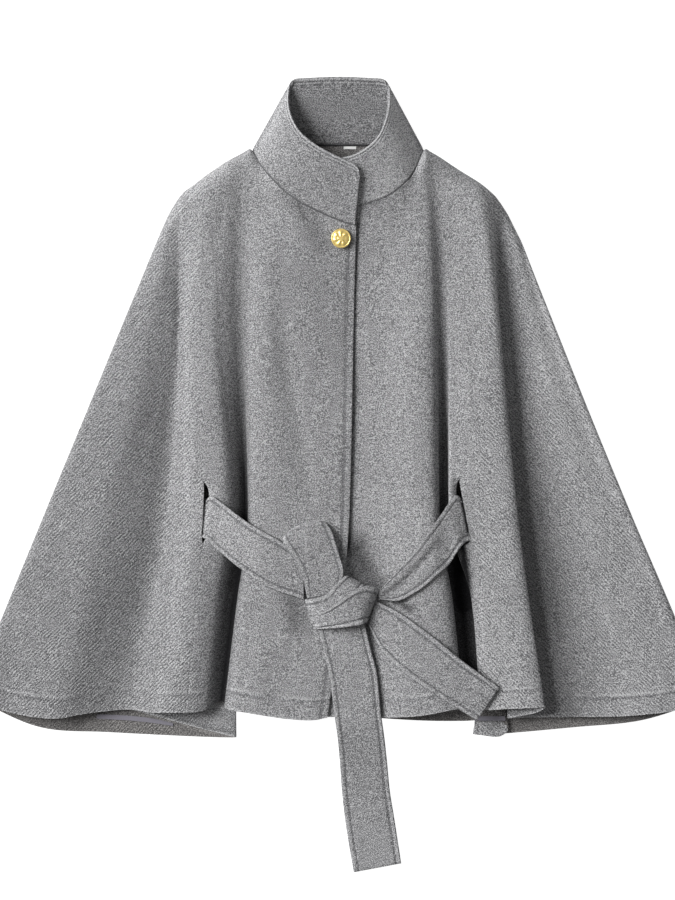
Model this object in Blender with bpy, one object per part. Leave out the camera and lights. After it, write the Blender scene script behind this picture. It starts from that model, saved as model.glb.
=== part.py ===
"""A hip-length wool cape coat with a stand collar, laid flat on its back.

X runs across the coat, +Y towards the collar and +Z up from the surface it
lies on. Tables are in millimetres, with a row for each fold line or section,
and the meshes are in metres. "Right" and "left" are the wearer's: the right
front lies at -X and laps over the left one.
"""

import math
from typing import NamedTuple

import bmesh
import bpy
from mathutils import Vector

MM = 0.001

# Driving sizes, in millimetres
CLOTH = 2.5             # wool coating, one layer
BELT_CLOTH = 3.0        # belt, two layers pressed flat
COLLAR_CLOTH = 4.0      # collar, two layers and its interlining
FOOT = 1.3              # height at which the fronts meet the surface at their outer seam
SHOULDER_ROLL = 26.0    # reach of the soft roll along the shoulder seam
CHEST_Y = 210.0
BELT_Y = -50.0
THIGH_Y = -150.0
BACK_FLAT_Y = -90.0     # above this line the back has no pleat
BACK_PLEAT_Y = -170.0   # where its pleats start to lie over

BUTTON_PLACE = (2.4, 280.8, 38.3)
BUTTON_RADIUS = 11.6
BUTTON_SEGMENTS = 32
# Turned profile of the button: radius as a share of its radius, height in millimetres
BUTTON_PROFILE = ((0.26, 0.0), (0.26, 1.2), (0.93, 1.5), (1.0, 2.1), (1.0, 2.9),
                  (0.93, 3.5), (0.86, 3.2), (0.70, 3.9), (0.45, 4.6), (0.20, 4.9))


class Fold(NamedTuple):
    """A line down a panel: x and height at its five levels, and y at its two ends."""
    name: str
    top_x: float
    top_y: float
    top_z: float
    upper_x: float
    upper_z: float
    middle_x: float
    middle_z: float
    lower_x: float
    lower_z: float
    hem_x: float
    hem_y: float
    hem_z: float


# Each front has its lines from the neck, which don't roll, then those from the shoulder seam.
# The levels are the top, the chest, the belt, the thigh and the hem.
RIGHT_NECK_FOLDS = (
    Fold("front_edge",  20.4, 296.5, 37.5,  18.0, 33.6,  12.2, 34.2,   4.0, 34.4,  -13.8, -290.4, 33.0),
    Fold("placket",      6.0, 300.0, 38.0,  -1.2, 34.2,  -4.8, 34.8, -13.2, 35.0,  -31.2, -293.4, 34.0),
    Fold("half_front", -25.2, 312.6, 36.5, -27.6, 33.8, -20.4, 35.2, -39.6, 36.0,  -58.8, -292.2, 35.0),
    Fold("trough",     -58.8, 331.8, 34.0, -66.0, 34.0, -37.2, 35.4, -66.0, 37.0,  -85.2, -288.6, 36.0),
    Fold("crown",      -87.6, 360.0, 26.0, -87.6, 36.0, -82.8, 38.0, -92.4, 37.5, -110.4, -284.4, 36.0),
)
RIGHT_SHOULDER_FOLDS = (
    Fold("body_brow",    -106.8, 390.0, 20.0, -105.6, 32.0, -102.0, 34.5, -115.0, 34.0, -129.0, -281.4, 33.0),
    Fold("body_edge",    -111.6, 387.6, 20.0, -114.4, 27.5, -108.6, 27.0, -121.6, 27.0, -137.0, -277.8, 26.0),
    Fold("body_under",   -116.0, 385.0, 19.5, -118.4, 24.5, -107.4, 15.0, -120.0, 17.0, -135.4, -276.0, 16.5),
    Fold("valley",       -123.6, 381.0, 19.0, -125.6, 22.5, -113.0,  9.8, -126.6, 12.3, -141.4, -271.8, 12.3),
    Fold("wing_edge",    -135.6, 374.4, 19.0, -141.0, 24.0, -120.0, 14.5, -135.4, 13.4, -149.4, -274.2, 13.4),
    Fold("wing_brow",    -146.4, 367.2, 19.0, -152.2, 26.5, -135.0, 24.6, -148.6, 20.0, -161.6, -282.6, 19.0),
    Fold("slit",         -159.6, 358.2, 19.0, -171.6, 25.0, -161.0, 26.5, -170.0, 24.5, -182.8, -285.0, 23.5),
    Fold("roll_top",     -175.2, 346.2, 18.0, -181.2, 22.0, -176.0, 25.5, -188.8, 24.0, -204.4, -285.0, 23.5),
    Fold("flank",        -186.0, 338.4, 16.0, -187.0, 19.5, -192.0, 18.0, -207.4, 17.0, -226.8, -285.0, 17.0),
    Fold("crease",       -192.6, 330.6, 14.0, -191.8, 18.0, -209.4,  9.0, -228.0,  9.0, -251.4, -282.0, 11.0),
    Fold("outer_slope",  -199.2, 320.4, 13.0, -200.4, 20.5, -243.6, 15.5, -266.4, 15.5, -300.4, -286.4, 15.5),
    Fold("outer_top",    -205.2, 309.6, 12.0, -217.2, 23.0, -286.8, 24.8, -310.2, 24.8, -343.8, -292.2, 22.5),
    Fold("outer_far",    -211.2, 296.4, 10.0, -235.2, 18.5, -334.2, 21.5, -374.6, 21.5, -410.4, -280.4, 18.5),
    Fold("outline_top",  -216.6, 283.8,  6.0, -245.4, 12.0, -352.2, 15.0, -393.0, 15.0, -438.6, -267.2, 13.0),
    Fold("outline_foot", -219.6, 276.0, FOOT, -247.2, FOOT, -354.1, FOOT, -395.3, FOOT, -442.8, -265.2, FOOT),
)

LEFT_NECK_FOLDS = (
    Fold("under_edge", -27.6, 307.8, 32.0, -37.2, 30.0, -40.8, 30.0, -44.4, 30.0, -51.6, -288.0, 29.0),
    Fold("under_lap",    3.6, 314.4, 33.0,  -3.6, 30.3,  -8.4, 30.6, -15.6, 30.6, -25.2, -289.2, 29.5),
    Fold("front_fall",  32.4, 322.2, 34.0,  30.0, 31.5,  26.4, 31.0,  21.6, 31.0,  15.6, -290.4, 30.5),
    Fold("half_front",  61.2, 333.0, 32.0,  56.4, 32.5,  61.2, 32.5,  58.8, 32.5,  52.8, -290.4, 32.0),
    Fold("crown",       85.2, 352.8, 26.0,  87.6, 36.5,  94.8, 37.5,  97.2, 37.0,  97.2, -288.0, 36.0),
)
LEFT_SHOULDER_FOLDS = (
    Fold("body_brow",    103.8, 390.0, 20.5, 111.0, 34.0, 114.5, 35.0, 127.0, 34.5, 137.0, -280.8, 33.0),
    Fold("body_edge",     109.2, 387.0, 19.5,  117.5, 28.5,  120.0, 27.0,  135.6, 27.0,  148.8, -279.6, 26.0),
    Fold("body_under",    112.5, 385.2, 19.0,  119.5, 26.5,  118.4, 15.0,  134.0, 17.0,  147.0, -279.0, 16.5),
    Fold("valley",        118.8, 381.6, 18.5,  123.5, 25.0,  124.6,  9.8,  146.0, 12.3,  157.2, -278.4, 12.3),
    Fold("wing_under",    125.0, 377.6, 18.5,  128.3, 25.5,  131.6, 15.0,  159.0, 16.0,  169.6, -279.2, 16.0),
    Fold("wing_edge",    129.6, 374.4, 18.5, 131.4, 27.5, 131.4, 28.5, 158.4, 27.5, 169.2, -279.6, 26.0),
    Fold("slit",         140.4, 367.2, 19.0, 141.6, 30.0, 145.2, 30.5, 165.6, 30.5, 177.6, -281.4, 29.5),
    Fold("wing_top",     153.6, 358.8, 19.0, 157.2, 31.5, 166.8, 32.5, 186.0, 32.5, 198.0, -280.2, 31.5),
    Fold("ridge_top",    168.0, 349.8, 19.5, 184.0, 34.3, 206.5, 34.0, 219.6, 33.3, 237.0, -278.6, 32.0),
    Fold("ridge_nose",   178.8, 341.4, 17.0, 189.5, 28.5, 213.6, 29.8, 226.8, 29.6, 246.0, -278.4, 28.5),
    Fold("ridge_under",  187.2, 333.6, 14.0, 188.4, 20.0, 207.0, 24.0, 219.0, 24.0, 237.0, -284.4, 23.5),
    Fold("return_nose",  193.2, 325.8, 12.0, 192.0, 13.5, 194.8, 13.0, 198.4, 13.0, 204.0, -292.2, 15.0),
    Fold("outer_start",  198.0, 318.6, 11.0, 200.4, 11.5, 211.2,  8.5, 216.0,  8.8, 222.0, -291.6, 11.4),
    Fold("outer_low",    202.8, 310.8, 11.0, 208.8, 12.5, 242.4, 11.0, 258.0, 11.0, 277.2, -291.0, 11.5),
    Fold("outer_top",    208.8, 298.8, 11.0, 225.6, 14.0, 296.4, 16.0, 319.2, 16.0, 349.2, -289.2, 15.5),
    Fold("outer_far",    214.8, 286.8,  9.0, 237.6, 11.0, 332.4, 14.0, 373.2, 13.5, 412.8, -280.8, 12.5),
    Fold("outline_top",  218.4, 279.6,  8.0, 244.4, 10.0, 349.4, 12.5, 391.9, 12.0, 438.4, -270.0, 11.5),
    Fold("outline_foot", 220.8, 273.6, FOOT, 246.0, FOOT, 351.1, FOOT, 394.3, FOOT, 442.8, -267.6, FOOT),
)

FLAT = CLOTH / 2        # middle of a layer that lies on the surface
LAYER = 3.1             # from one pressed layer to the next
NEXT = FLAT + LAYER
LAST = NEXT + LAYER

# The back's levels are its top, the chest, the end of its flat part, its pleats and the hem.
BACK_FOLDS = (
    Fold("right_side",   -215.6, 274.2, FLAT, -243.4, FLAT, -366.6, FLAT, -400.0, FLAT, -435.6, -270.6, FLAT),
    Fold("right_outer",  -200.4, 312.0, FLAT, -214.8, FLAT, -306.0, FLAT, -333.0, FLAT, -358.8, -303.6, FLAT),
    Fold("right_middle", -187.2, 331.2, FLAT, -184.8, FLAT, -246.0, FLAT, -262.0, FLAT, -274.8, -309.6, FLAT),
    Fold("right_foot",   -171.6, 343.2, FLAT, -160.8, FLAT, -178.8, FLAT, -156.0, FLAT, -136.8, -315.9, FLAT),
    Fold("right_inner",  -159.6, 352.2, FLAT, -150.0, FLAT, -166.0, FLAT, -126.0,  2.4, -124.2, -315.6,  2.8),
    Fold("right_near",   -147.6, 360.0, FLAT, -139.2, FLAT, -155.0, FLAT, -133.0,  3.7, -136.8, -312.6, NEXT),
    Fold("right_far",    -135.6, 367.8, FLAT, -128.4, FLAT, -144.0, FLAT, -169.2,  5.0, -241.2, -284.4, NEXT),
    Fold("right_fold",   -123.6, 374.4, FLAT, -117.6, FLAT, -133.0, FLAT, -167.4,  6.4, -253.2, -280.8,  5.9),
    Fold("right_over",   -114.0, 379.2, FLAT, -106.8, FLAT, -121.0, FLAT, -157.0, LAST, -241.2, -278.4, LAST),
    Fold("right_end",    -104.4, 384.6, FLAT,  -92.4, FLAT, -103.0, FLAT, -114.0, LAST, -130.8, -274.8, LAST),
    Fold("right_calm",    -76.8, 392.6, FLAT,  -64.8, FLAT,  -77.0, FLAT,  -84.0, FLAT,  -92.4, -282.0, FLAT),
    Fold("centre",          0.0, 393.2, FLAT,    0.0, FLAT,    0.0, FLAT,    0.0, FLAT,    0.0, -289.2, FLAT),
    Fold("left_calm",      76.8, 392.6, FLAT,   64.8, FLAT,   79.0, FLAT,   90.0, FLAT,  103.2, -295.8, FLAT),
    Fold("left_end",      103.0, 382.6, FLAT,   92.4, FLAT,  118.0, FLAT,  134.0, LAST,  147.6, -295.8, LAST),
    Fold("left_over",     114.0, 378.6, FLAT,  106.8, FLAT,  140.0, FLAT,  164.0, LAST,  193.2, -295.8, LAST),
    Fold("left_fold",     123.6, 372.6, FLAT,  117.6, FLAT,  152.0, FLAT,  177.0,  6.4,  202.8, -306.0,  5.9),
    Fold("left_far",      135.6, 366.0, FLAT,  128.4, FLAT,  163.0, FLAT,  179.0,  5.0,  193.2, -314.4, NEXT),
    Fold("left_near",     147.6, 358.2, FLAT,  139.2, FLAT,  174.0, FLAT,  180.4,  3.7,  171.6, -313.2, NEXT),
    Fold("left_inner",    159.6, 350.4, FLAT,  150.0, FLAT,  185.0, FLAT,  182.0,  2.4,  161.6, -312.0,  2.8),
    Fold("left_foot",     171.6, 342.0, FLAT,  160.8, FLAT,  197.0, FLAT,  196.0, FLAT,  174.0, -312.6, FLAT),
    Fold("left_middle",   184.4, 328.0, FLAT,  184.8, FLAT,  252.0, FLAT,  268.0, FLAT,  283.2, -303.6, FLAT),
    Fold("left_outer",    198.0, 306.4, FLAT,  216.0, FLAT,  306.0, FLAT,  335.0, FLAT,  363.6, -295.2, FLAT),
    Fold("left_side",     216.4, 271.2, FLAT,  242.0, FLAT,  362.8, FLAT,  398.5, FLAT,  435.6, -272.4, FLAT),
)


class Slit(NamedTuple):
    """A belt slit along the fold line of that name, and how far each of its lips stands off it."""
    top_y: float
    foot_y: float
    minus_top: float
    minus_foot: float
    plus_top: float
    plus_foot: float
    sag: float                      # how far its inner lip sinks under the belt


RIGHT_SLIT = Slit(-11.0, -82.5, -0.5, 3.5, 8.0, 5.0, 3.4)
LEFT_SLIT = Slit(-6.0, -87.5, 6.5, 1.0, -1.0, 13.0, 5.0)
LIP_RISE = 1.2          # how far a slit's outer lip stands up over the belt
SLIT_FADE = (0.7, 0.1)  # how far the columns beside a slit follow its lips
SLIT_EASE_Y = 4.0       # from a slit's end to where it is fully open


class Station(NamedTuple):
    """A section across a strip: its two edges in the plane, and the height of each."""
    one: tuple
    other: tuple


# The collar's outer face, from its under-end round the back to its over-end: seam edge, top edge
COLLAR_STATIONS = (
    Station((-24.0, 309.9, 33.5), (-24.0, 370.0, 34.5)),
    Station((3.6, 315.6, 34.0), (-4.8, 375.6, 36.5)),
    Station((32.4, 323.4, 34.2), (21.6, 382.8, 38.0)),
    Station((60.6, 334.4, 32.2), (45.6, 402.0, 35.0)),
    Station((83.6, 354.2, 26.5), (57.0, 428.4, 28.5)),
    Station((96.5, 376.6, 14.0), (60.0, 450.0, 17.5)),
    Station((100.5, 391.0, 4.0), (57.8, 470.0, 7.0)),
    Station((89.0, 394.6, 1.6), (53.4, 473.6, 3.6)),
    Station((78.0, 395.6, 1.0), (40.0, 474.8, 2.4)),
    Station((0.0, 395.6, 1.0), (0.0, 476.4, 2.4)),
    Station((-78.0, 395.6, 1.0), (-40.0, 474.8, 2.4)),
    Station((-91.0, 394.6, 1.6), (-53.6, 473.6, 3.6)),
    Station((-102.5, 391.5, 4.0), (-58.0, 470.0, 7.0)),
    Station((-99.0, 379.4, 14.0), (-61.0, 450.0, 18.5)),
    Station((-86.4, 361.4, 26.5), (-57.6, 429.6, 30.5)),
    Station((-58.2, 333.2, 34.6), (-46.8, 409.0, 38.5)),
    Station((-24.6, 314.2, 38.2), (-25.2, 391.0, 42.8)),
    Station((6.4, 301.4, 39.6), (2.4, 376.8, 44.0)),
    Station((18.6, 298.2, 39.5), (25.5, 366.0, 43.2)),
)

# Belt stretches, at the middle of their thickness
RUN_RIGHT_STATIONS = (
    Station((-168.0, -43.0, 19.2), (-174.0, -75.5, 19.3)),
    Station((-160.5, -36.5, 22.2), (-169.5, -75.5, 21.0)),
    Station((-155.2, -27.2, 24.8), (-164.0, -76.0, 23.7)),
    Station((-150.8, -26.0, 26.4), (-157.0, -79.0, 27.1)),
    Station((-143.0, -31.0, 28.4), (-150.0, -86.0, 28.8)),
    Station((-129.0, -42.0, 32.4), (-136.0, -98.0, 32.6)),
    Station((-111.6, -55.2, 36.4), (-117.6, -112.8, 36.6)),
    Station((-93.6, -66.0, 39.4), (-98.4, -126.0, 39.3)),
    Station((-72.0, -78.0, 39.7), (-76.8, -138.0, 39.5)),
    Station((-52.0, -91.0, 38.7), (-55.2, -145.2, 38.8)),
    Station((-42.5, -98.0, 38.3), (-42.8, -149.5, 38.3)),
)
RUN_LEFT_STATIONS = (
    Station((160.0, -32.0, 21.0), (172.0, -80.0, 22.5)),
    Station((147.0, -28.5, 25.5), (160.0, -80.0, 25.4)),
    Station((138.8, -24.8, 28.0), (152.6, -81.0, 27.9)),
    Station((132.0, -33.0, 30.4), (145.0, -87.2, 32.4)),
    Station((120.0, -50.0, 35.2), (131.0, -108.0, 34.2)),
    Station((106.5, -69.0, 39.2), (115.5, -122.0, 38.8)),
    Station((93.6, -87.0, 39.5), (99.6, -135.6, 39.6)),
    Station((82.0, -100.5, 39.2), (85.0, -144.6, 39.5)),
    Station((70.8, -112.8, 38.8), (70.8, -151.2, 39.0)),
    Station((48.8, -138.0, 38.6), (49.2, -149.0, 39.4)),
)
INNER_RUN_STATIONS = (
    Station((-171.5, -41.0, 17.6), (-178.5, -75.5, 17.6)),
    Station((-181.0, -32.5, 14.5), (-187.0, -78.0, 14.8)),
    Station((-184.0, -27.0, 9.6), (-190.0, -79.0, 9.6)),
    Station((-176.0, -27.5, 5.2), (-180.0, -80.0, 5.2)),
    Station((-150.0, -28.0, 4.6), (-150.0, -81.0, 4.6)),
    Station((-60.0, -28.0, 4.6), (-60.0, -83.0, 4.6)),
    Station((60.0, -28.0, 4.6), (60.0, -83.0, 4.6)),
    Station((150.0, -28.0, 4.6), (150.0, -82.0, 4.6)),
    Station((176.0, -30.0, 5.2), (180.0, -81.0, 5.2)),
    Station((184.0, -32.0, 10.0), (191.0, -81.0, 10.0)),
    Station((179.0, -33.0, 16.4), (188.0, -81.0, 16.4)),
    Station((169.0, -33.0, 21.2), (179.0, -80.5, 21.2)),
)
BOW_STATIONS = (
    Station((-38.0, -147.0, 41.8), (-4.0, -140.0, 39.6)),
    Station((-43.0, -121.0, 42.7), (4.6, -117.0, 38.9)),
    Station((-51.5, -103.0, 43.0), (-1.0, -93.0, 38.0)),
    Station((-64.6, -84.0, 42.8), (-9.4, -66.0, 37.4)),
    Station((-68.0, -78.0, 44.4), (-13.5, -57.5, 39.2)),
    Station((-65.2, -84.0, 46.2), (-8.8, -66.0, 41.0)),
    Station((-52.2, -103.0, 46.5), (-0.2, -93.0, 41.6)),
    Station((-44.0, -121.0, 46.2), (5.6, -117.0, 42.4)),
    Station((-38.0, -147.0, 45.2), (-3.0, -141.0, 43.0)),
)
TAIL_LONG_STATIONS = (
    Station((-24.5, -184.5, 37.4), (31.5, -180.5, 35.6)),
    Station((-17.5, -215.0, 36.7), (38.5, -210.0, 34.4)),
    Station((-12.0, -240.0, 36.2), (45.0, -235.0, 34.0)),
    Station((-6.0, -283.0, 34.6), (50.4, -286.8, 33.9)),
    Station((-4.0, -297.0, 33.0), (52.0, -299.0, 33.0)),
    Station((-2.0, -312.0, 28.5), (54.0, -313.0, 29.0)),
    Station((1.0, -345.0, 16.0), (57.6, -345.0, 16.5)),
    Station((3.5, -380.0, 6.0), (61.0, -380.0, 6.3)),
    Station((7.0, -412.0, 2.4), (66.0, -411.0, 2.4)),
    Station((12.0, -445.0, 1.9), (70.5, -440.0, 1.9)),
    Station((17.5, -476.3, 1.9), (74.4, -465.6, 1.9)),
)
TAIL_SHORT_STATIONS = (
    Station((44.5, -151.0, 36.8), (36.0, -182.0, 35.6)),
    Station((70.0, -163.5, 37.8), (54.0, -214.8, 36.6)),
    Station((116.4, -196.8, 38.5), (82.8, -241.2, 38.4)),
    Station((145.2, -220.8, 37.0), (116.4, -264.0, 37.8)),
    Station((190.3, -253.2, 34.0), (163.2, -292.8, 33.0)),
)


class Lobe(NamedTuple):
    """A section across the knot, from its lower left to its upper right: two side points and a thickness."""
    one: tuple
    other: tuple
    thickness: float


KNOT_FOOT = 39.3
KNOT_LOBES = (
    Lobe((-38.5, -151.5), (-28.5, -183.5), 5.0),
    Lobe((-20.0, -149.0), (-10.0, -182.5), 11.0),
    Lobe((4.0, -143.0), (14.0, -180.0), 14.0),
    Lobe((20.0, -133.0), (32.0, -174.0), 12.0),
    Lobe((43.0, -137.0), (42.0, -155.0), 6.0),
)
KNOT_RING_POINTS = 14

LABEL_BOX = ((6.0, 389.4, 3.0), (20.4, 392.8, 3.7))
TAPE_CLOTH = 0.7
TAPE_LIFT = 0.4
RIGHT_TAPE_STATIONS = (
    Station((-290.0, -288.0, 0.0), (-291.0, -293.4, 0.0)),
    Station((-256.0, -289.5, 0.0), (-256.0, -295.2, 0.0)),
    Station((-224.0, -293.0, 0.0), (-224.0, -298.4, 0.0)),
    Station((-199.0, -298.6, 0.0), (-199.0, -302.2, 0.0)),
)
LEFT_TAPE_STATIONS = (
    Station((163.0, -290.0, 0.0), (163.0, -295.4, 0.0)),
    Station((199.0, -290.0, 0.0), (199.0, -295.4, 0.0)),
)


# ---------------------------------------------------------------- curves

def monotone(levels, values, at):
    """The value at a level, on a smooth curve through the stations that never overshoots them."""
    count = len(levels)
    steps = [levels[i + 1] - levels[i] for i in range(count - 1)]
    slopes = [(values[i + 1] - values[i]) / steps[i] for i in range(count - 1)]
    tangents = [slopes[0]]
    for i in range(1, count - 1):
        if slopes[i - 1] * slopes[i] <= 0:
            tangents.append(0.0)
            continue
        before = 2 * steps[i] + steps[i - 1]
        after = steps[i] + 2 * steps[i - 1]
        tangents.append((before + after) / (before / slopes[i - 1] + after / slopes[i]))
    tangents.append(slopes[-1])
    i = 0
    while i < count - 2 and at > levels[i + 1]:
        i += 1
    share = min(max((at - levels[i]) / steps[i], 0.0), 1.0)
    cubed = share ** 3
    squared = share ** 2
    return ((2 * cubed - 3 * squared + 1) * values[i]
            + (cubed - 2 * squared + share) * steps[i] * tangents[i]
            + (3 * squared - 2 * cubed) * values[i + 1]
            + (cubed - squared) * steps[i] * tangents[i + 1])


def spline(points, steps):
    """Points on a centripetal Catmull-Rom curve, with that many steps to each span."""
    ends = [points[0] * 2 - points[1], *points, points[-1] * 2 - points[-2]]
    found = []
    for i in range(1, len(ends) - 2):
        knots = [0.0]
        for a, b in zip(ends[i - 1:i + 2], ends[i:i + 3]):
            knots.append(knots[-1] + max(math.sqrt((b - a).length), 1e-6))
        for step in range(steps):
            at = knots[1] + (knots[2] - knots[1]) * step / steps
            found.append(catmull_rom(ends[i - 1:i + 3], knots, at))
    found.append(points[-1].copy())
    return found


def catmull_rom(points, knots, at):
    """A point between the middle two of four, by the pyramid of Barry and Goldman."""
    layer = list(points)
    for depth in (1, 2, 3):
        # The last layer runs between the middle knots only.
        reach = depth if depth < 3 else 1
        first = 0 if depth < 3 else 1
        above = []
        for low, point in enumerate(layer[:-1], start=first):
            share = (at - knots[low]) / (knots[low + reach] - knots[low])
            above.append(point.lerp(layer[low - first + 1], share))
        layer = above
    return layer[0]


def fold_point(fold, levels, share, roll):
    """The point at that share of the way down a fold line, with the roll at its top."""
    fall = (fold.top_y - fold.hem_y) * share
    down = [fold.top_y - level for level in (fold.top_y, *levels, fold.hem_y)]
    x = monotone(down, (fold.top_x, fold.upper_x, fold.middle_x, fold.lower_x, fold.hem_x), fall)
    z = monotone(down, (fold.top_z, fold.upper_z, fold.middle_z, fold.lower_z, fold.hem_z), fall)
    if roll:
        near = min(fall / roll, 1.0)
        z = FOOT + (z - FOOT) * math.sqrt(1 - (1 - near) ** 2)
    return Vector((x, fold.top_y - fall, z))


# ---------------------------------------------------------------- meshes

def material(name, colour, roughness, metallic=0.0):
    """A Principled BSDF of one colour."""
    made = bpy.data.materials.new(name)
    made.use_nodes = True
    shader = made.node_tree.nodes["Principled BSDF"]
    shader.inputs["Base Color"].default_value = (*colour, 1.0)
    shader.inputs["Roughness"].default_value = roughness
    shader.inputs["Metallic"].default_value = metallic
    return made


def add_object(name, mesh_data, finish, root):
    """An object of this mesh, under the root empty."""
    shape = bpy.data.meshes.new(name)
    mesh_data.to_mesh(shape)
    mesh_data.free()
    shape.shade_smooth()
    shape.materials.append(finish)
    made = bpy.data.objects.new(name, shape)
    made.parent = root
    bpy.context.scene.collection.objects.link(made)
    return made


def add_wall(obj, thickness, offset):
    """Gives an open sheet its thickness: offset -1 keeps it as the outer face, 0 as the middle."""
    wall = obj.modifiers.new("Wall", "SOLIDIFY")
    wall.thickness = thickness * MM
    wall.offset = offset
    wall.use_even_offset = False
    wall.use_rim = True
    return obj


def slit_lips(slit, point, rising):
    """The slit's lip towards the front edge and its lip towards the outline, at that point."""
    share = (slit.top_y - point.y) / (slit.top_y - slit.foot_y)
    minus = slit.minus_top + (slit.minus_foot - slit.minus_top) * share
    plus = slit.plus_top + (slit.plus_foot - slit.plus_top) * share
    inner, outer = (-minus, plus) if rising else (plus, -minus)
    return point + Vector((inner, 0, -slit.sag)), point + Vector((outer, 0, LIP_RISE))


def sheet_mesh(rows, slit_column=None, slit_rows=(), slit=None):
    """A grid sheet through rows of points in millimetres, with a slit cut along one column.

    Rows run down the coat and each goes the same way across. In slit_rows the column's
    point is parted into two lips.
    """
    mesh = bmesh.new()
    upper = None
    for number, row in enumerate(rows):
        before = []
        after = []
        for column, point in enumerate(row):
            parted = column == slit_column and number in slit_rows
            inner, outer = slit_lips(slit, point, row[-1].x > row[0].x) if parted else (point, point)
            first = mesh.verts.new(inner * MM)
            second = mesh.verts.new(outer * MM) if parted else first
            before.append(first)
            after.append(second)
        if upper:
            for column in range(len(row) - 1):
                corners = (upper[1][column], upper[0][column + 1], before[column + 1], after[column])
                mesh.faces.new(corners)
        upper = (before, after)
    return mesh


def face_up(mesh):
    """Turns the sheet so that most of its area faces up."""
    mesh.normal_update()
    facing = sum(face.normal.z * face.calc_area() for face in mesh.faces)
    if facing < 0:
        bmesh.ops.reverse_faces(mesh, faces=mesh.faces)


def spread(first, last, count):
    """That many evenly spaced values after first, up to last."""
    return [first + (last - first) * (i + 1) / count for i in range(count)]


ROLL_SHARES = (0.0, 0.006, 0.018, 0.04, 0.07, 0.11)
UPPER_ROWS = 5
LOWER_ROWS = 6
STEPS_PER_FOLD = 2


def front_panel(name, neck_folds, shoulder_folds, slit, finish, root):
    """A front: its folds lofted across, with its belt slit cut through and a wall inside its face."""
    folds = neck_folds + shoulder_folds
    slit_number = [fold.name for fold in folds].index("slit")
    slit_fold = folds[slit_number]
    length = slit_fold.top_y - slit_fold.hem_y
    slit_levels = (slit.top_y, slit.top_y - SLIT_EASE_Y, (slit.top_y + slit.foot_y) / 2,
                   slit.foot_y + SLIT_EASE_Y, slit.foot_y)
    slit_shares = [(slit_fold.top_y - level) / length for level in slit_levels]
    shares = [*ROLL_SHARES, *spread(ROLL_SHARES[-1], slit_shares[0], UPPER_ROWS),
              *slit_shares[1:], *spread(slit_shares[-1], 1.0, LOWER_ROWS)]
    levels = (CHEST_Y, BELT_Y, THIGH_Y)
    rows = []
    for share in shares:
        points = [fold_point(fold, levels, share, 0.0) for fold in neck_folds]
        points += [fold_point(fold, levels, share, SHOULDER_ROLL) for fold in shoulder_folds]
        rows.append(spline(points, STEPS_PER_FOLD))
    column = slit_number * STEPS_PER_FOLD
    first_open = len(ROLL_SHARES) + UPPER_ROWS
    opened = range(first_open, first_open + 3)
    for number in opened:
        for beside, fade in enumerate(SLIT_FADE, start=1):
            rows[number][column - beside].z -= slit.sag * fade
            rows[number][column + beside].z += LIP_RISE * fade
    mesh = sheet_mesh(rows, column, opened, slit)
    face_up(mesh)
    return add_wall(add_object(name, mesh, finish, root), CLOTH, -1.0)


STRIP_STEPS = 3
BACK_SHARES = (0.0, 0.05, 0.15, 0.3, 0.5, 0.68, 0.72, 0.76, 0.80, 0.84, 0.89, 0.94, 1.0)


def back_panel(finish, root):
    """The back: one layer on the surface, with a pleat pressed over at each side of its hem."""
    levels = (CHEST_Y, BACK_FLAT_Y, BACK_PLEAT_Y)
    rows = [spline([fold_point(fold, levels, share, 0.0) for fold in BACK_FOLDS], STEPS_PER_FOLD)
            for share in BACK_SHARES]
    for row in rows:
        for point in row:
            point.z = min(max(point.z, FLAT), LAST)
    mesh = sheet_mesh(rows)
    face_up(mesh)
    return add_wall(add_object("back_panel", mesh, finish, root), CLOTH, 0.0)


def bow_crown(point):
    """A point of the bow, moved so that its top edge rounds outwards."""
    left = Vector((-68.0, -78.0))
    right = Vector((-13.5, -57.5))
    width = (right - left).length
    along = (right - left) / width
    upward = Vector((-along.y, along.x))
    away = Vector((point.x, point.y)) - left
    share = min(max(away.dot(along) / width, 0.0), 1.0)
    near = min(max((away.dot(upward) + 40) / 40, 0.0), 1.0)
    lift = upward * (8.0 * 4 * share * (1 - share) * near ** 2)
    return point + Vector((lift.x, lift.y, 0))


def strip(name, stations, thickness, finish, root, across=2, offset=0.0, bend=Vector.copy):
    """A strip of cloth through its stations, with its wall about its middle or inside its face."""
    ones = spline([Vector(station.one) for station in stations], STRIP_STEPS)
    others = spline([Vector(station.other) for station in stations], STRIP_STEPS)
    shares = [i / across for i in range(across + 1)]
    rows = [[bend(one.lerp(other, share)) for share in shares] for one, other in zip(ones, others)]
    mesh = sheet_mesh(rows)
    face_up(mesh)
    return add_wall(add_object(name, mesh, finish, root), thickness, offset)


def knot(finish, root):
    """The knot: rounded sections lofted from its lower left to its upper right, flat below."""
    mesh = bmesh.new()
    rings = []
    for lobe in KNOT_LOBES:
        one = Vector((*lobe.one, KNOT_FOOT))
        other = Vector((*lobe.other, KNOT_FOOT))
        ring = []
        for i in range(KNOT_RING_POINTS):
            turn = 2 * math.pi * i / KNOT_RING_POINTS
            across = 0.5 - 0.5 * math.copysign(abs(math.cos(turn)) ** 0.6, math.cos(turn))
            rise = max(math.sin(turn), -0.25) + 0.25
            height = lobe.thickness * (rise / 1.25) ** 0.7
            ring.append(mesh.verts.new((one.lerp(other, across) + Vector((0, 0, height))) * MM))
        rings.append(ring)
    for near, far in zip(rings, rings[1:]):
        for i in range(KNOT_RING_POINTS):
            after = (i + 1) % KNOT_RING_POINTS
            mesh.faces.new((near[i], near[after], far[after], far[i]))
    mesh.faces.new(rings[0])
    mesh.faces.new(reversed(rings[-1]))
    bmesh.ops.recalc_face_normals(mesh, faces=mesh.faces)
    return add_object("belt_knot", mesh, finish, root)


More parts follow.
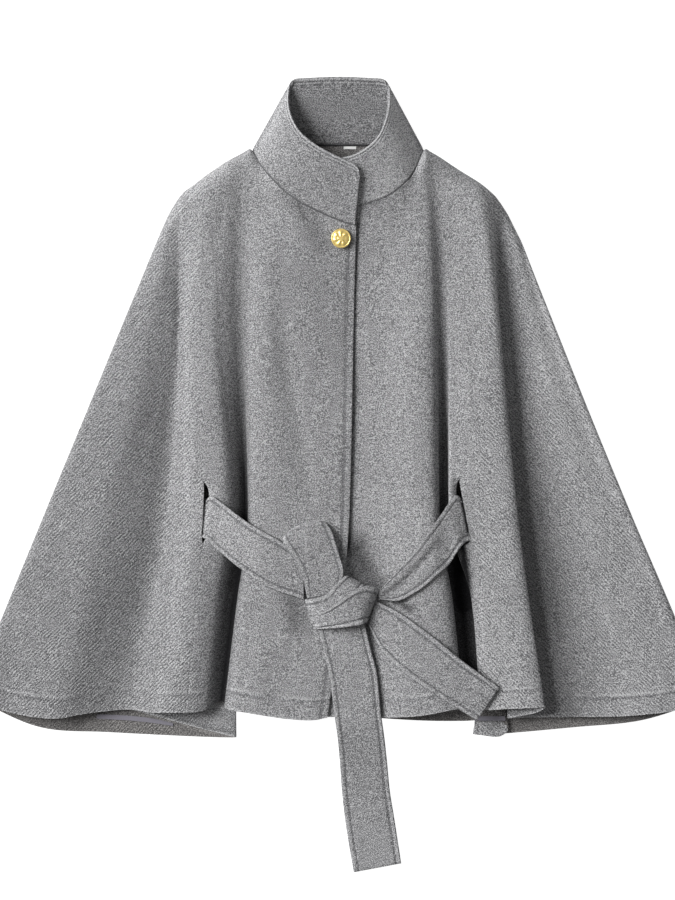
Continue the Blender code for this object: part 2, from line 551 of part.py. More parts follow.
def button(finish, root):
    """The button: a domed cap with a raised rim on a short shank, turned about its own axis."""
    mesh = bmesh.new()
    profile = [Vector((share * BUTTON_RADIUS, 0, height)) * MM for share, height in BUTTON_PROFILE]
    rings = []
    for point in profile:
        ring = []
        for i in range(BUTTON_SEGMENTS):
            turn = 2 * math.pi * i / BUTTON_SEGMENTS
            ring.append(mesh.verts.new((point.x * math.cos(turn), point.x * math.sin(turn), point.z)))
        rings.append(ring)
    for lower, higher in zip(rings, rings[1:]):
        for i in range(BUTTON_SEGMENTS):
            after = (i + 1) % BUTTON_SEGMENTS
            mesh.faces.new((lower[i], lower[after], higher[after], higher[i]))
    mesh.faces.new(reversed(rings[0]))
    mesh.faces.new(rings[-1])
    bmesh.ops.recalc_face_normals(mesh, faces=mesh.faces)
    made = add_object("button", mesh, finish, root)
    made.location = Vector(BUTTON_PLACE) * MM
    return made


def label(finish, root):
    """The blank label, sewn flat inside the back neck."""
    low, high = (Vector(corner) * MM for corner in LABEL_BOX)
    mesh = bmesh.new()
    bmesh.ops.create_cube(mesh, size=1.0)
    bmesh.ops.scale(mesh, vec=high - low, verts=mesh.verts)
    bmesh.ops.translate(mesh, vec=(low + high) / 2, verts=mesh.verts)
    return add_object("neck_label", mesh, finish, root)


def raised(stations, height):
    """The same stations, lifted by a height."""
    lift = Vector((0, 0, height))
    return [Station(tuple(Vector(one) + lift), tuple(Vector(other) + lift)) for one, other in stations]


def build():
    """Makes every piece of the coat, under one empty at its origin."""
    for old in list(bpy.data.objects):
        bpy.data.objects.remove(old, do_unlink=True)
    root = bpy.data.objects.new("coat_origin", None)
    bpy.context.scene.collection.objects.link(root)
    wool = material("grey_wool", (0.30, 0.30, 0.31), 0.95)
    brass = material("gilt_brass", (0.80, 0.56, 0.20), 0.3, 1.0)
    satin = material("tape_satin", (0.32, 0.31, 0.37), 0.5)
    white = material("label_white", (0.85, 0.85, 0.84), 0.7)
    back_panel(wool, root)
    front_panel("front_right", RIGHT_NECK_FOLDS, RIGHT_SHOULDER_FOLDS, RIGHT_SLIT, wool, root)
    front_panel("front_left", LEFT_NECK_FOLDS, LEFT_SHOULDER_FOLDS, LEFT_SLIT, wool, root)
    strip("collar", COLLAR_STATIONS, COLLAR_CLOTH, wool, root, across=3, offset=-1.0)
    strip("belt_run_right", RUN_RIGHT_STATIONS, BELT_CLOTH, wool, root)
    strip("belt_run_left", RUN_LEFT_STATIONS, BELT_CLOTH, wool, root)
    strip("belt_inner_run", INNER_RUN_STATIONS, BELT_CLOTH, wool, root)
    strip("belt_bow", BOW_STATIONS, BELT_CLOTH, wool, root, across=4, bend=bow_crown)
    strip("belt_tail_long", TAIL_LONG_STATIONS, BELT_CLOTH, wool, root)
    strip("belt_tail_short", TAIL_SHORT_STATIONS, BELT_CLOTH, wool, root)
    knot(wool, root)
    button(brass, root)
    label(white, root)
    on_back = CLOTH + TAPE_LIFT + TAPE_CLOTH / 2
    on_pleat = LAST + on_back - FLAT
    strip("hem_tape_right", raised(RIGHT_TAPE_STATIONS, on_back), TAPE_CLOTH, satin, root, across=1)
    strip("hem_tape_left", raised(LEFT_TAPE_STATIONS, on_pleat), TAPE_CLOTH, satin, root, across=1)


build()
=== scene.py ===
"""A hip-length wool cape coat with a stand collar and a tie belt, laid flat on its back.

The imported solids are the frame. X runs across the coat, +Y towards the collar and +Z up
from the surface. "Right" and "left" are the wearer's: the right front lies at -X. Tables
are in millimetres and every finished mesh is in metres.
"""

import logging
import math
from contextlib import contextmanager
from dataclasses import dataclass
from enum import Enum
from typing import Callable, Iterator, NamedTuple, Sequence

import bmesh
import bpy
import numpy as np
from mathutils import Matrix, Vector, noise


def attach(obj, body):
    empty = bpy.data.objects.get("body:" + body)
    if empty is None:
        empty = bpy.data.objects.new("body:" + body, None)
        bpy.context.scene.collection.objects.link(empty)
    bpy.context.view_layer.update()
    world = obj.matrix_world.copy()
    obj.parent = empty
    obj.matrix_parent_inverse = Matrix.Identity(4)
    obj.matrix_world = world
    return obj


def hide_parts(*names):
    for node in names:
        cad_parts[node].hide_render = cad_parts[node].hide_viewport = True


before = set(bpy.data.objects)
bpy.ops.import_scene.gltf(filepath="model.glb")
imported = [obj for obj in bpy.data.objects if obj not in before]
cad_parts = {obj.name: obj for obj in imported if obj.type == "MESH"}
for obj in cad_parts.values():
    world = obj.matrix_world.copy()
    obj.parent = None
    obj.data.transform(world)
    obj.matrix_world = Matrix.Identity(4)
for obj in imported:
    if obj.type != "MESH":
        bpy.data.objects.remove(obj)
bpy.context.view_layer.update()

logging.basicConfig(level=logging.INFO, format="%(message)s")
LOG = logging.getLogger("cape_coat")

MM = 0.001
ROOT = "root"
CLOTH = 2.5             # wool coating, one layer
BELT_CLOTH = 3.0        # belt, two layers pressed flat
COLLAR_CLOTH = 4.0      # collar, two layers and its interlining
BELT_STITCH = 6.0       # from the belt's edges to its topstitching
# Painted highlight: how strongly a painted shade below 0 lightens the wool.
PAINTED_LIGHT_GAIN = 1.5           # how strongly a shade below 0 lightens the wool
FOOT = 1.3              # height at which the fronts meet the surface at their outer seam
SHOULDER_ROLL = 26.0    # reach of the soft roll along the shoulder seam
CHEST_Y, BELT_Y, THIGH_Y = 210.0, -50.0, -150.0
BACK_FLAT_Y, BACK_PLEAT_Y = -90.0, -170.0
FLAT = CLOTH / 2
LAYER = 3.1
NEXT = FLAT + LAYER
LAST = NEXT + LAYER


class Side(Enum):
    """The wearer's side that a front belongs to."""

    RIGHT = "right"
    LEFT = "left"


class Fold(NamedTuple):
    """A line down a panel: x and height at its five levels, and y at its two ends."""

    name: str
    top_x: float
    top_y: float
    top_z: float
    upper_x: float
    upper_z: float
    middle_x: float
    middle_z: float
    lower_x: float
    lower_z: float
    hem_x: float
    hem_y: float
    hem_z: float


class Slit(NamedTuple):
    """A belt slit down a fold line, and how far each of its lips stands off it at its top and foot."""

    top_y: float
    foot_y: float
    minus_top: float
    minus_foot: float
    plus_top: float
    plus_foot: float
    sag: float                      # how far its inner lip sinks under the belt


class Station(NamedTuple):
    """A section across a strip: its two edges."""

    one: tuple[float, float, float]
    other: tuple[float, float, float]


class Crease(NamedTuple):
    """A soft crease along a path in the plane: a swell if its depth is below 0, only painted if it is 0. Its
    dim is painted shade along the path, and painted highlight where below 0.
    """

    name: str
    width: float
    depth: float
    path: tuple[tuple[float, float], ...]
    dim: float = 0.0


RIGHT_NECK_FOLDS = (
    Fold("front_edge",  20.4, 296.5, 37.5,  18.0, 33.6,  12.2, 34.2,   4.0, 34.4,  -13.8, -290.4, 33.0),
    Fold("placket",      6.0, 300.0, 38.0,  -1.2, 34.2,  -4.8, 34.8, -13.2, 35.0,  -31.2, -293.4, 34.0),
    Fold("half_front", -25.2, 312.6, 36.5, -27.6, 33.8, -20.4, 35.2, -39.6, 36.0,  -58.8, -292.2, 35.0),
    Fold("trough",     -58.8, 331.8, 34.0, -66.0, 34.0, -37.2, 35.4, -66.0, 37.0,  -85.2, -288.6, 36.0),
    Fold("crown",      -87.6, 360.0, 26.0, -87.6, 36.0, -82.8, 38.0, -92.4, 37.5, -110.4, -284.4, 36.0),
)
RIGHT_SHOULDER_FOLDS = (
    Fold("body_brow",    -106.8, 390.0, 20.0, -105.6, 32.0, -102.0, 34.5, -115.0, 34.0, -129.0, -281.4, 33.0),
    Fold("body_edge",    -111.6, 387.6, 20.0, -114.4, 27.5, -108.6, 27.0, -121.6, 27.0, -137.0, -277.8, 26.0),
    Fold("body_under",   -116.0, 385.0, 19.5, -118.4, 24.5, -107.4, 15.0, -120.0, 17.0, -135.4, -276.0, 16.5),
    Fold("valley",       -123.6, 381.0, 19.0, -125.6, 22.5, -113.0,  9.8, -126.6, 12.3, -141.4, -271.8, 12.3),
    Fold("wing_edge",    -135.6, 374.4, 19.0, -141.0, 24.0, -120.0, 14.5, -135.4, 13.4, -149.4, -274.2, 13.4),
    Fold("wing_brow",    -146.4, 367.2, 19.0, -152.2, 26.5, -135.0, 24.6, -148.6, 20.0, -161.6, -282.6, 19.0),
    Fold("slit",         -159.6, 358.2, 19.0, -171.6, 25.0, -161.0, 26.5, -170.0, 24.5, -182.8, -285.0, 23.5),
    Fold("roll_top",     -175.2, 346.2, 18.0, -181.2, 22.0, -176.0, 25.5, -188.8, 24.0, -204.4, -285.0, 23.5),
    Fold("flank",        -186.0, 338.4, 16.0, -187.0, 19.5, -192.0, 18.0, -207.4, 17.0, -226.8, -285.0, 17.0),
    Fold("crease",       -192.6, 330.6, 14.0, -191.8, 18.0, -209.4,  9.0, -228.0,  9.0, -251.4, -282.0, 11.0),
    Fold("outer_slope",  -199.2, 320.4, 13.0, -200.4, 20.5, -243.6, 15.5, -266.4, 15.5, -300.4, -286.4, 15.5),
    Fold("outer_top",    -205.2, 309.6, 12.0, -217.2, 23.0, -286.8, 24.8, -310.2, 24.8, -343.8, -292.2, 22.5),
    Fold("outer_far",    -211.2, 296.4, 10.0, -235.2, 18.5, -334.2, 21.5, -374.6, 21.5, -410.4, -280.4, 18.5),
    Fold("outline_top",  -216.6, 283.8,  6.0, -245.4, 12.0, -352.2, 15.0, -393.0, 15.0, -438.6, -267.2, 13.0),
    Fold("outline_foot", -219.6, 276.0, FOOT, -247.2, FOOT, -354.1, FOOT, -395.3, FOOT, -442.8, -265.2, FOOT),
)

LEFT_NECK_FOLDS = (
    Fold("under_edge", -27.6, 307.8, 32.0, -37.2, 30.0, -40.8, 30.0, -44.4, 30.0, -51.6, -288.0, 29.0),
    Fold("under_lap",    3.6, 314.4, 33.0,  -3.6, 30.3,  -8.4, 30.6, -15.6, 30.6, -25.2, -289.2, 29.5),
    Fold("front_fall",  32.4, 322.2, 34.0,  30.0, 31.5,  26.4, 31.0,  21.6, 31.0,  15.6, -290.4, 30.5),
    Fold("half_front",  61.2, 333.0, 32.0,  56.4, 32.5,  61.2, 32.5,  58.8, 32.5,  52.8, -290.4, 32.0),
    Fold("crown",       85.2, 352.8, 26.0,  87.6, 36.5,  94.8, 37.5,  97.2, 37.0,  97.2, -288.0, 36.0),
)
LEFT_SHOULDER_FOLDS = (
    Fold("body_brow",    103.8, 390.0, 20.5, 111.0, 34.0, 114.5, 35.0, 127.0, 34.5, 137.0, -280.8, 33.0),
    Fold("body_edge",     109.2, 387.0, 19.5,  117.5, 28.5,  120.0, 27.0,  135.6, 27.0,  148.8, -279.6, 26.0),
    Fold("body_under",    112.5, 385.2, 19.0,  119.5, 26.5,  118.4, 15.0,  134.0, 17.0,  147.0, -279.0, 16.5),
    Fold("valley",        118.8, 381.6, 18.5,  123.5, 25.0,  124.6,  9.8,  146.0, 12.3,  157.2, -278.4, 12.3),
    Fold("wing_under",    125.0, 377.6, 18.5,  128.3, 25.5,  131.6, 15.0,  159.0, 16.0,  169.6, -279.2, 16.0),
    Fold("wing_edge",    129.6, 374.4, 18.5, 131.4, 27.5, 131.4, 28.5, 158.4, 27.5, 169.2, -279.6, 26.0),
    Fold("slit",         140.4, 367.2, 19.0, 141.6, 30.0, 145.2, 30.5, 165.6, 30.5, 177.6, -281.4, 29.5),
    Fold("wing_top",     153.6, 358.8, 19.0, 157.2, 31.5, 166.8, 32.5, 186.0, 32.5, 198.0, -280.2, 31.5),
    Fold("ridge_top",    168.0, 349.8, 19.5, 184.0, 34.3, 206.5, 34.0, 219.6, 33.3, 237.0, -278.6, 32.0),
    Fold("ridge_nose",   178.8, 341.4, 17.0, 189.5, 28.5, 213.6, 29.8, 226.8, 29.6, 246.0, -278.4, 28.5),
    Fold("ridge_under",  187.2, 333.6, 14.0, 188.4, 20.0, 207.0, 24.0, 219.0, 24.0, 237.0, -284.4, 23.5),
    Fold("return_nose",  193.2, 325.8, 12.0, 192.0, 13.5, 194.8, 13.0, 198.4, 13.0, 204.0, -292.2, 15.0),
    Fold("outer_start",  198.0, 318.6, 11.0, 200.4, 11.5, 211.2,  8.5, 216.0,  8.8, 222.0, -291.6, 11.4),
    Fold("outer_low",    202.8, 310.8, 11.0, 208.8, 12.5, 242.4, 11.0, 258.0, 11.0, 277.2, -291.0, 11.5),
    Fold("outer_top",    208.8, 298.8, 11.0, 225.6, 14.0, 296.4, 16.0, 319.2, 16.0, 349.2, -289.2, 15.5),
    Fold("outer_far",    214.8, 286.8,  9.0, 237.6, 11.0, 332.4, 14.0, 373.2, 13.5, 412.8, -280.8, 12.5),
    Fold("outline_top",  218.4, 279.6,  8.0, 244.4, 10.0, 349.4, 12.5, 391.9, 12.0, 438.4, -270.0, 11.5),
    Fold("outline_foot", 220.8, 273.6, FOOT, 246.0, FOOT, 351.1, FOOT, 394.3, FOOT, 442.8, -267.6, FOOT),
)

BACK_FOLDS = (
    Fold("right_side",   -215.6, 274.2, FLAT, -243.4, FLAT, -366.6, FLAT, -400.0, FLAT, -435.6, -270.6, FLAT),
    Fold("right_outer",  -200.4, 312.0, FLAT, -214.8, FLAT, -306.0, FLAT, -333.0, FLAT, -358.8, -303.6, FLAT),
    Fold("right_middle", -187.2, 331.2, FLAT, -184.8, FLAT, -246.0, FLAT, -262.0, FLAT, -274.8, -309.6, FLAT),
    Fold("right_foot",   -171.6, 343.2, FLAT, -160.8, FLAT, -178.8, FLAT, -156.0, FLAT, -136.8, -315.9, FLAT),
    Fold("right_inner",  -159.6, 352.2, FLAT, -150.0, FLAT, -166.0, FLAT, -126.0,  2.4, -124.2, -315.6,  2.8),
    Fold("right_near",   -147.6, 360.0, FLAT, -139.2, FLAT, -155.0, FLAT, -133.0,  3.7, -136.8, -312.6, NEXT),
    Fold("right_far",    -135.6, 367.8, FLAT, -128.4, FLAT, -144.0, FLAT, -169.2,  5.0, -241.2, -284.4, NEXT),
    Fold("right_fold",   -123.6, 374.4, FLAT, -117.6, FLAT, -133.0, FLAT, -167.4,  6.4, -253.2, -280.8,  5.9),
    Fold("right_over",   -114.0, 379.2, FLAT, -106.8, FLAT, -121.0, FLAT, -157.0, LAST, -241.2, -278.4, LAST),
    Fold("right_end",    -104.4, 384.6, FLAT,  -92.4, FLAT, -103.0, FLAT, -114.0, LAST, -130.8, -274.8, LAST),
    Fold("right_calm",    -76.8, 392.6, FLAT,  -64.8, FLAT,  -77.0, FLAT,  -84.0, FLAT,  -92.4, -282.0, FLAT),
    Fold("centre",          0.0, 393.2, FLAT,    0.0, FLAT,    0.0, FLAT,    0.0, FLAT,    0.0, -289.2, FLAT),
    Fold("left_calm",      76.8, 392.6, FLAT,   64.8, FLAT,   79.0, FLAT,   90.0, FLAT,  103.2, -295.8, FLAT),
    Fold("left_end",      103.0, 382.6, FLAT,   92.4, FLAT,  118.0, FLAT,  134.0, LAST,  147.6, -295.8, LAST),
    Fold("left_over",     114.0, 378.6, FLAT,  106.8, FLAT,  140.0, FLAT,  164.0, LAST,  193.2, -295.8, LAST),
    Fold("left_fold",     123.6, 372.6, FLAT,  117.6, FLAT,  152.0, FLAT,  177.0,  6.4,  202.8, -306.0,  5.9),
    Fold("left_far",      135.6, 366.0, FLAT,  128.4, FLAT,  163.0, FLAT,  179.0,  5.0,  193.2, -314.4, NEXT),
    Fold("left_near",     147.6, 358.2, FLAT,  139.2, FLAT,  174.0, FLAT,  180.4,  3.7,  171.6, -313.2, NEXT),
    Fold("left_inner",    159.6, 350.4, FLAT,  150.0, FLAT,  185.0, FLAT,  182.0,  2.4,  161.6, -312.0,  2.8),
    Fold("left_foot",     171.6, 342.0, FLAT,  160.8, FLAT,  197.0, FLAT,  196.0, FLAT,  174.0, -312.6, FLAT),
    Fold("left_middle",   184.4, 328.0, FLAT,  184.8, FLAT,  252.0, FLAT,  268.0, FLAT,  283.2, -303.6, FLAT),
    Fold("left_outer",    198.0, 306.4, FLAT,  216.0, FLAT,  306.0, FLAT,  335.0, FLAT,  363.6, -295.2, FLAT),
    Fold("left_side",     216.4, 271.2, FLAT,  242.0, FLAT,  362.8, FLAT,  398.5, FLAT,  435.6, -272.4, FLAT),
)

RIGHT_SLIT = Slit(-11.0, -80.5, -0.5, 3.5, 8.0, 5.0, 3.4)
LEFT_SLIT = Slit(-6.0, -84.5, 6.5, 1.0, -1.0, 13.0, 5.0)
LIP_RISE = 1.2      # how far a slit's outer lip stands up over the belt

# A crease's last number is painted shade along its path; below 0 it is painted highlight.
RIGHT_CREASES = (
    Crease("trough", 15.0, 1.6, ((-70, 205), (-62, 140), (-48, 60), (-38, 0), (-33, -60))),
    Crease("shoulder_dip", 9.0, 1.2, ((-140, 330), (-150, 270), (-158, 200))),
    Crease("neck_shadow", 13.0, 0.8, ((-66, 334), (-50, 323), (-32, 303), (-22, 275)), 0.26),
    Crease("knot_shade", 14.0, 0.6, ((-64, -124), (-56, -148), (-52, -176)), 0.42),
    Crease("neck_nick", 2.2, 0.8, ((-49, 328), (-46, 318), (-42, 306)), 0.3),
)
# Painted highlight along the pleat's turned edge, with painted shadow just above it.
BACK_CREASES = (
    Crease("return_edge_painted_highlight", 1.7, 0.0,
           ((-252, -280.5), (-222, -289), (-192, -298), (-158, -308), (-126, -315)), -0.6),
    Crease("return_shadow", 2.4, 0.0,
           ((-252, -276.5), (-222, -285), (-192, -294), (-158, -304), (-130, -310)), 0.3),
)
COLLAR_CREASES = (
    Crease("soft_fold", 4.5, -1.0, ((-74, 438), (-66, 405), (-52, 362))),
)
# Painted shade down the run's trough, and painted shadow where the run goes under the slit's lip.
RUN_LEFT_CREASES = (
    Crease("run_trough", 4.0, 1.8, ((46, -147), (60, -140), (78, -127), (98, -106), (118, -80)), 0.38),
    Crease("slit_shadow", 2.4, 0.0, ((144.6, -23), (147.8, -38.6), (151.4, -56.6), (154.1, -69.8)), 1.0),
)
# Painted shade and shadows on the left front: a patch below the belt, past the belt's end, along the front
# edge, beside the tails and at the neck.
LEFT_CREASES = (
    Crease("knee_patch", 17.0, 3.0, ((17, -83), (29, -105), (40, -128)), 0.66),
    Crease("belt_shadow", 6.5, 0.0,
           ((145, -76), (148.5, -90), (150, -106), (151.5, -125), (150.5, -153)), 1.0),
    Crease("edge_shadow", 2.5, 0.0, ((22, 300), (19.5, 210), (14.5, 0), (13, -50), (9, -90)), 0.55),
    Crease("tail_shadow", 4.0, 0.0, ((33, -180), (39.5, -199), (47.5, -247), (50.5, -271), (52, -288)), 0.6),
    Crease("tail_gap", 5.5, 0.0, ((54, -139), (66, -149), (84, -161)), 0.7),
    Crease("shoulder_dip", 8.0, 0.8, ((140, 340), (140, 280), (138, 220))),
    Crease("neck_shadow", 10.0, 0.5, ((28, 327), (50, 332)), 0.35),
)

# How dim the wool lies along a fold, at the chest, the belt, the thigh and the hem. This is painted
# shade, and painted highlight where below 0, tuned to the photograph's light and dark: it stays put under any
# other light.
RIGHT_PAINTED_SHADES = {
    "placket": (0.15, 0.05, 0.0, 0.0),
    "half_front": (0.20, 0.08, 0.0, 0.0),
    "body_brow": (0.12, 0.12, 0.20, 0.10),
    "body_edge": (0.34, 0.62, 0.66, 0.50),
    "body_under": (0.42, 0.84, 1.00, 0.95),
    "valley": (0.46, 1.00, 1.00, 1.00),
    "wing_edge": (0.04, 0.46, 0.90, 0.80),
    "wing_brow": (0.0, 0.0, 0.05, 0.25),
    "roll_top": (-0.05, -0.05, 0.00, 0.00),
    "flank": (0.12, 0.16, 0.18, 0.16),
    "crease": (0.10, 0.20, 0.16, 0.14),
    "outer_slope": (0.14, 0.06, 0.28, 0.24),
    "outer_top": (0.20, 0.10, 0.02, 0.0),
    "outer_far": (0.24, 0.20, 0.25, 0.22),
    "outline_top": (0.30, 0.30, 0.35, 0.30),
    "outline_foot": (0.30, 0.30, 0.35, 0.30),
    "slit": (-0.05, -0.04, 0.00, 0.00),
}
LEFT_PAINTED_SHADES = {
    "body_edge": (0.00, 0.10, 0.30, 0.30),
    "body_under": (0.00, 0.55, 0.90, 0.80),
    "valley": (0.00, 0.75, 1.00, 0.90),
    "wing_under": (0.20, 0.25, 0.95, 0.90),
    "wing_edge": (0.22, 0.08, 0.40, 0.20),
    "ridge_nose": (0.00, 0.00, 0.15, 0.05),
    "ridge_under": (0.10, 0.20, 0.30, 0.10),
    "return_nose": (0.20, 0.30, 0.36, 0.00),
    "outer_start": (0.00, 0.08, 0.06, -0.15),
    "outer_low": (0.05, 0.52, 0.58, 0.45),
    "slit": (0.00, 0.00, 0.00, -0.15),
    "wing_top": (0.00, 0.00, 0.00, -0.18),
    "ridge_top": (0.00, 0.00, 0.00, -0.08),
    "outer_top": (-0.20, -0.05, -0.05, -0.10),
    "outer_far": (-0.35, -0.10, 0.00, 0.00),
    "outline_top": (-0.45, -0.10, 0.00, 0.00),
}

COLLAR_STATIONS = (
    Station((-24.0, 309.9, 33.5), (-24.0, 370.0, 34.5)),
    Station((3.6, 315.6, 34.0), (-4.8, 375.6, 36.5)),
    Station((32.4, 323.4, 34.2), (21.6, 382.8, 38.0)),
    Station((60.6, 334.4, 32.2), (45.6, 402.0, 35.0)),
    Station((83.6, 354.2, 26.5), (57.0, 428.4, 28.5)),
    Station((96.5, 376.6, 14.0), (60.0, 450.0, 17.5)),
    Station((100.5, 391.0, 4.0), (57.8, 470.0, 7.0)),
    Station((89.0, 394.6, 1.6), (53.4, 473.6, 3.6)),
    Station((78.0, 395.6, 1.0), (40.0, 474.8, 2.4)),
    Station((0.0, 395.6, 1.0), (0.0, 476.4, 2.4)),
    Station((-78.0, 395.6, 1.0), (-40.0, 474.8, 2.4)),
    Station((-91.0, 394.6, 1.6), (-53.6, 473.6, 3.6)),
    Station((-102.5, 391.5, 4.0), (-58.0, 470.0, 7.0)),
    Station((-99.0, 379.4, 14.0), (-61.0, 450.0, 18.5)),
    Station((-86.4, 361.4, 26.5), (-57.6, 429.6, 30.5)),
    Station((-58.2, 333.2, 34.6), (-46.8, 409.0, 38.5)),
    Station((-24.6, 314.2, 38.2), (-25.2, 391.0, 42.8)),
    Station((6.4, 301.4, 39.6), (2.4, 376.8, 44.0)),
    Station((18.6, 298.2, 39.5), (25.5, 366.0, 43.2)),
)

# Belt stretches, at the middle of their thickness
RUN_RIGHT_STATIONS = (
    Station((-168.0, -43.0, 19.2), (-174.0, -75.5, 19.3)),
    Station((-160.5, -36.5, 22.2), (-169.5, -75.5, 21.0)),
    Station((-155.2, -27.2, 24.8), (-164.0, -76.0, 23.7)),
    Station((-150.8, -26.0, 26.4), (-157.0, -79.0, 27.1)),
    Station((-143.0, -31.0, 28.4), (-150.0, -86.0, 28.8)),
    Station((-129.0, -42.0, 32.4), (-136.0, -98.0, 32.6)),
    Station((-111.6, -55.2, 36.4), (-117.6, -112.8, 36.6)),
    Station((-93.6, -66.0, 39.4), (-98.4, -126.0, 39.3)),
    Station((-72.0, -78.0, 39.7), (-76.8, -138.0, 39.5)),
    Station((-52.0, -91.0, 38.7), (-55.2, -145.2, 38.8)),
    Station((-42.5, -98.0, 38.3), (-42.8, -149.5, 38.3)),
)
RUN_LEFT_STATIONS = (
    Station((160.0, -32.0, 21.0), (172.0, -80.0, 22.5)),
    Station((147.0, -28.5, 25.5), (160.0, -80.0, 25.4)),
    Station((138.8, -24.8, 28.0), (152.6, -81.0, 27.9)),
    Station((132.0, -33.0, 30.4), (145.0, -87.2, 32.4)),
    Station((120.0, -50.0, 35.2), (131.0, -108.0, 34.2)),
    Station((106.5, -69.0, 39.2), (115.5, -122.0, 38.8)),
    Station((93.6, -87.0, 39.5), (99.6, -135.6, 39.6)),
    Station((82.0, -100.5, 39.2), (85.0, -144.6, 39.5)),
    Station((70.8, -112.8, 38.8), (70.8, -151.2, 39.0)),
    Station((48.8, -138.0, 38.6), (49.2, -149.0, 39.4)),
)
INNER_RUN_STATIONS = (
    Station((-171.5, -41.0, 17.6), (-178.5, -75.5, 17.6)),
    Station((-181.0, -32.5, 14.5), (-187.0, -78.0, 14.8)),
    Station((-184.0, -27.0, 9.6), (-190.0, -79.0, 9.6)),
    Station((-176.0, -27.5, 5.2), (-180.0, -80.0, 5.2)),
    Station((-150.0, -28.0, 4.6), (-150.0, -81.0, 4.6)),
    Station((-60.0, -28.0, 4.6), (-60.0, -83.0, 4.6)),
    Station((60.0, -28.0, 4.6), (60.0, -83.0, 4.6)),
    Station((150.0, -28.0, 4.6), (150.0, -82.0, 4.6)),
    Station((176.0, -30.0, 5.2), (180.0, -81.0, 5.2)),
    Station((184.0, -32.0, 10.0), (191.0, -81.0, 10.0)),
    Station((179.0, -33.0, 16.4), (188.0, -81.0, 16.4)),
    Station((169.0, -33.0, 21.2), (179.0, -80.5, 21.2)),
)
BOW_STATIONS = (
    Station((-38.0, -147.0, 41.8), (-4.0, -140.0, 39.6)),
    Station((-43.0, -121.0, 42.7), (4.6, -117.0, 38.9)),
    Station((-51.5, -103.0, 43.0), (-1.0, -93.0, 38.0)),
    Station((-64.6, -84.0, 42.8), (-9.4, -66.0, 37.4)),
    Station((-68.0, -78.0, 44.4), (-13.5, -57.5, 39.2)),
    Station((-65.2, -84.0, 46.2), (-8.8, -66.0, 41.0)),
    Station((-52.2, -103.0, 46.5), (-0.2, -93.0, 41.6)),
    Station((-44.0, -121.0, 46.2), (5.6, -117.0, 42.4)),
    Station((-38.0, -147.0, 45.2), (-3.0, -141.0, 43.0)),
)
TAIL_LONG_STATIONS = (
    Station((-24.5, -184.5, 37.4), (31.5, -180.5, 35.6)),
    Station((-17.5, -215.0, 36.7), (38.5, -210.0, 34.4)),
    Station((-12.0, -240.0, 36.2), (45.0, -235.0, 34.0)),
    Station((-6.0, -283.0, 34.6), (50.4, -286.8, 33.9)),
    Station((-4.0, -297.0, 33.0), (52.0, -299.0, 33.0)),
    Station((-2.0, -312.0, 28.5), (54.0, -313.0, 29.0)),
    Station((1.0, -345.0, 16.0), (57.6, -345.0, 16.5)),
    Station((3.5, -380.0, 6.0), (61.0, -380.0, 6.3)),
    Station((7.0, -412.0, 2.4), (66.0, -411.0, 2.4)),
    Station((12.0, -445.0, 1.9), (70.5, -440.0, 1.9)),
    Station((17.5, -476.3, 1.9), (74.4, -465.6, 1.9)),
)
TAIL_SHORT_STATIONS = (
    Station((44.5, -151.0, 36.8), (36.0, -182.0, 35.6)),
    Station((70.0, -163.5, 37.8), (54.0, -214.8, 36.6)),
    Station((116.4, -196.8, 38.5), (82.8, -241.2, 38.4)),
    Station((145.2, -220.8, 37.0), (116.4, -264.0, 37.8)),
    Station((190.3, -253.2, 34.0), (163.2, -292.8, 33.0)),
)
# The knot's two turns
KNOT_UNDER_STATIONS = (
    Station((-39.6, -148.8, 40.5), (-28.0, -183.0, 39.0)),
    Station((-33.6, -147.6, 45.5), (-22.8, -182.4, 43.0)),
    Station((-16.8, -143.4, 48.5), (1.2, -172.8, 48.0)),
    Station((-4.8, -130.8, 48.5), (16.8, -151.2, 49.0)),
    Station((4.8, -122.4, 45.5), (27.6, -136.8, 46.0)),
    Station((8.4, -121.2, 40.5), (30.0, -133.2, 41.0)),
)
KNOT_OVER_STATIONS = (
    Station((-36.0, -165.6, 41.5), (-27.6, -184.8, 39.0)),
    Station((-20.4, -163.2, 48.5), (-10.8, -183.6, 44.5)),
    Station((-2.4, -152.4, 52.0), (6.0, -182.4, 48.0)),
    Station((14.4, -139.2, 52.0), (19.2, -180.6, 49.0)),
    Station((30.0, -132.6, 49.5), (26.4, -179.4, 48.0)),
    Station((42.0, -133.2, 45.5), (29.4, -177.6, 45.0)),
    Station((46.8, -136.8, 39.5), (31.8, -176.4, 39.0)),
)

LABEL_BOX = ((6.0, 389.4, 3.0), (20.4, 392.8, 3.7))
BUTTON_PLACE = (2.4, 280.8, 38.3)
BUTTON_RADIUS = 11.6


# ------------------------------------------------------------------ shader maths


class Graph:
    """A material's node tree, with one way to make a node."""

    def __init__(self, name: str) -> None:
        """Starts an empty material of that name."""
        self.material = bpy.data.materials.new(name)
        self.material.use_nodes = True
        self.tree = self.material.node_tree
        self.tree.nodes.clear()

    def node(self, kind: str, settings: dict[str, object] | None = None,
             values: dict[str | int, object] | None = None) -> bpy.types.Node:
        """Makes a node, sets it up and feeds it.

        Args:
            kind: the node's type.
            settings: its own properties; "stops" gives a ramp's places and colours.
            values: what its sockets get, by name or number: numbers, colours or links.
        Returns:
            The node.
        """
        made = self.tree.nodes.new(kind)
        for key, value in (settings or {}).items():
            if key == "stops":
                ramp = made.color_ramp
                for number, (place, colour) in enumerate(value):
                    stop = ramp.elements[number] if number < 2 else ramp.elements.new(place)
                    stop.position = place
                    stop.color = colour
            else:
                setattr(made, key, value)
        for key, value in (values or {}).items():
            if isinstance(value, Flow):
                self.tree.links.new(value.socket, made.inputs[key])
            else:
                made.inputs[key].default_value = value
        return made

    def flow(self, kind: str, settings: dict[str, object] | None = None,
             values: dict[str | int, object] | None = None, out: str | int = 0) -> "Flow":
        """Makes a node and returns one of its outputs as a Flow."""
        return Flow(self, self.node(kind, settings, values).outputs[out])


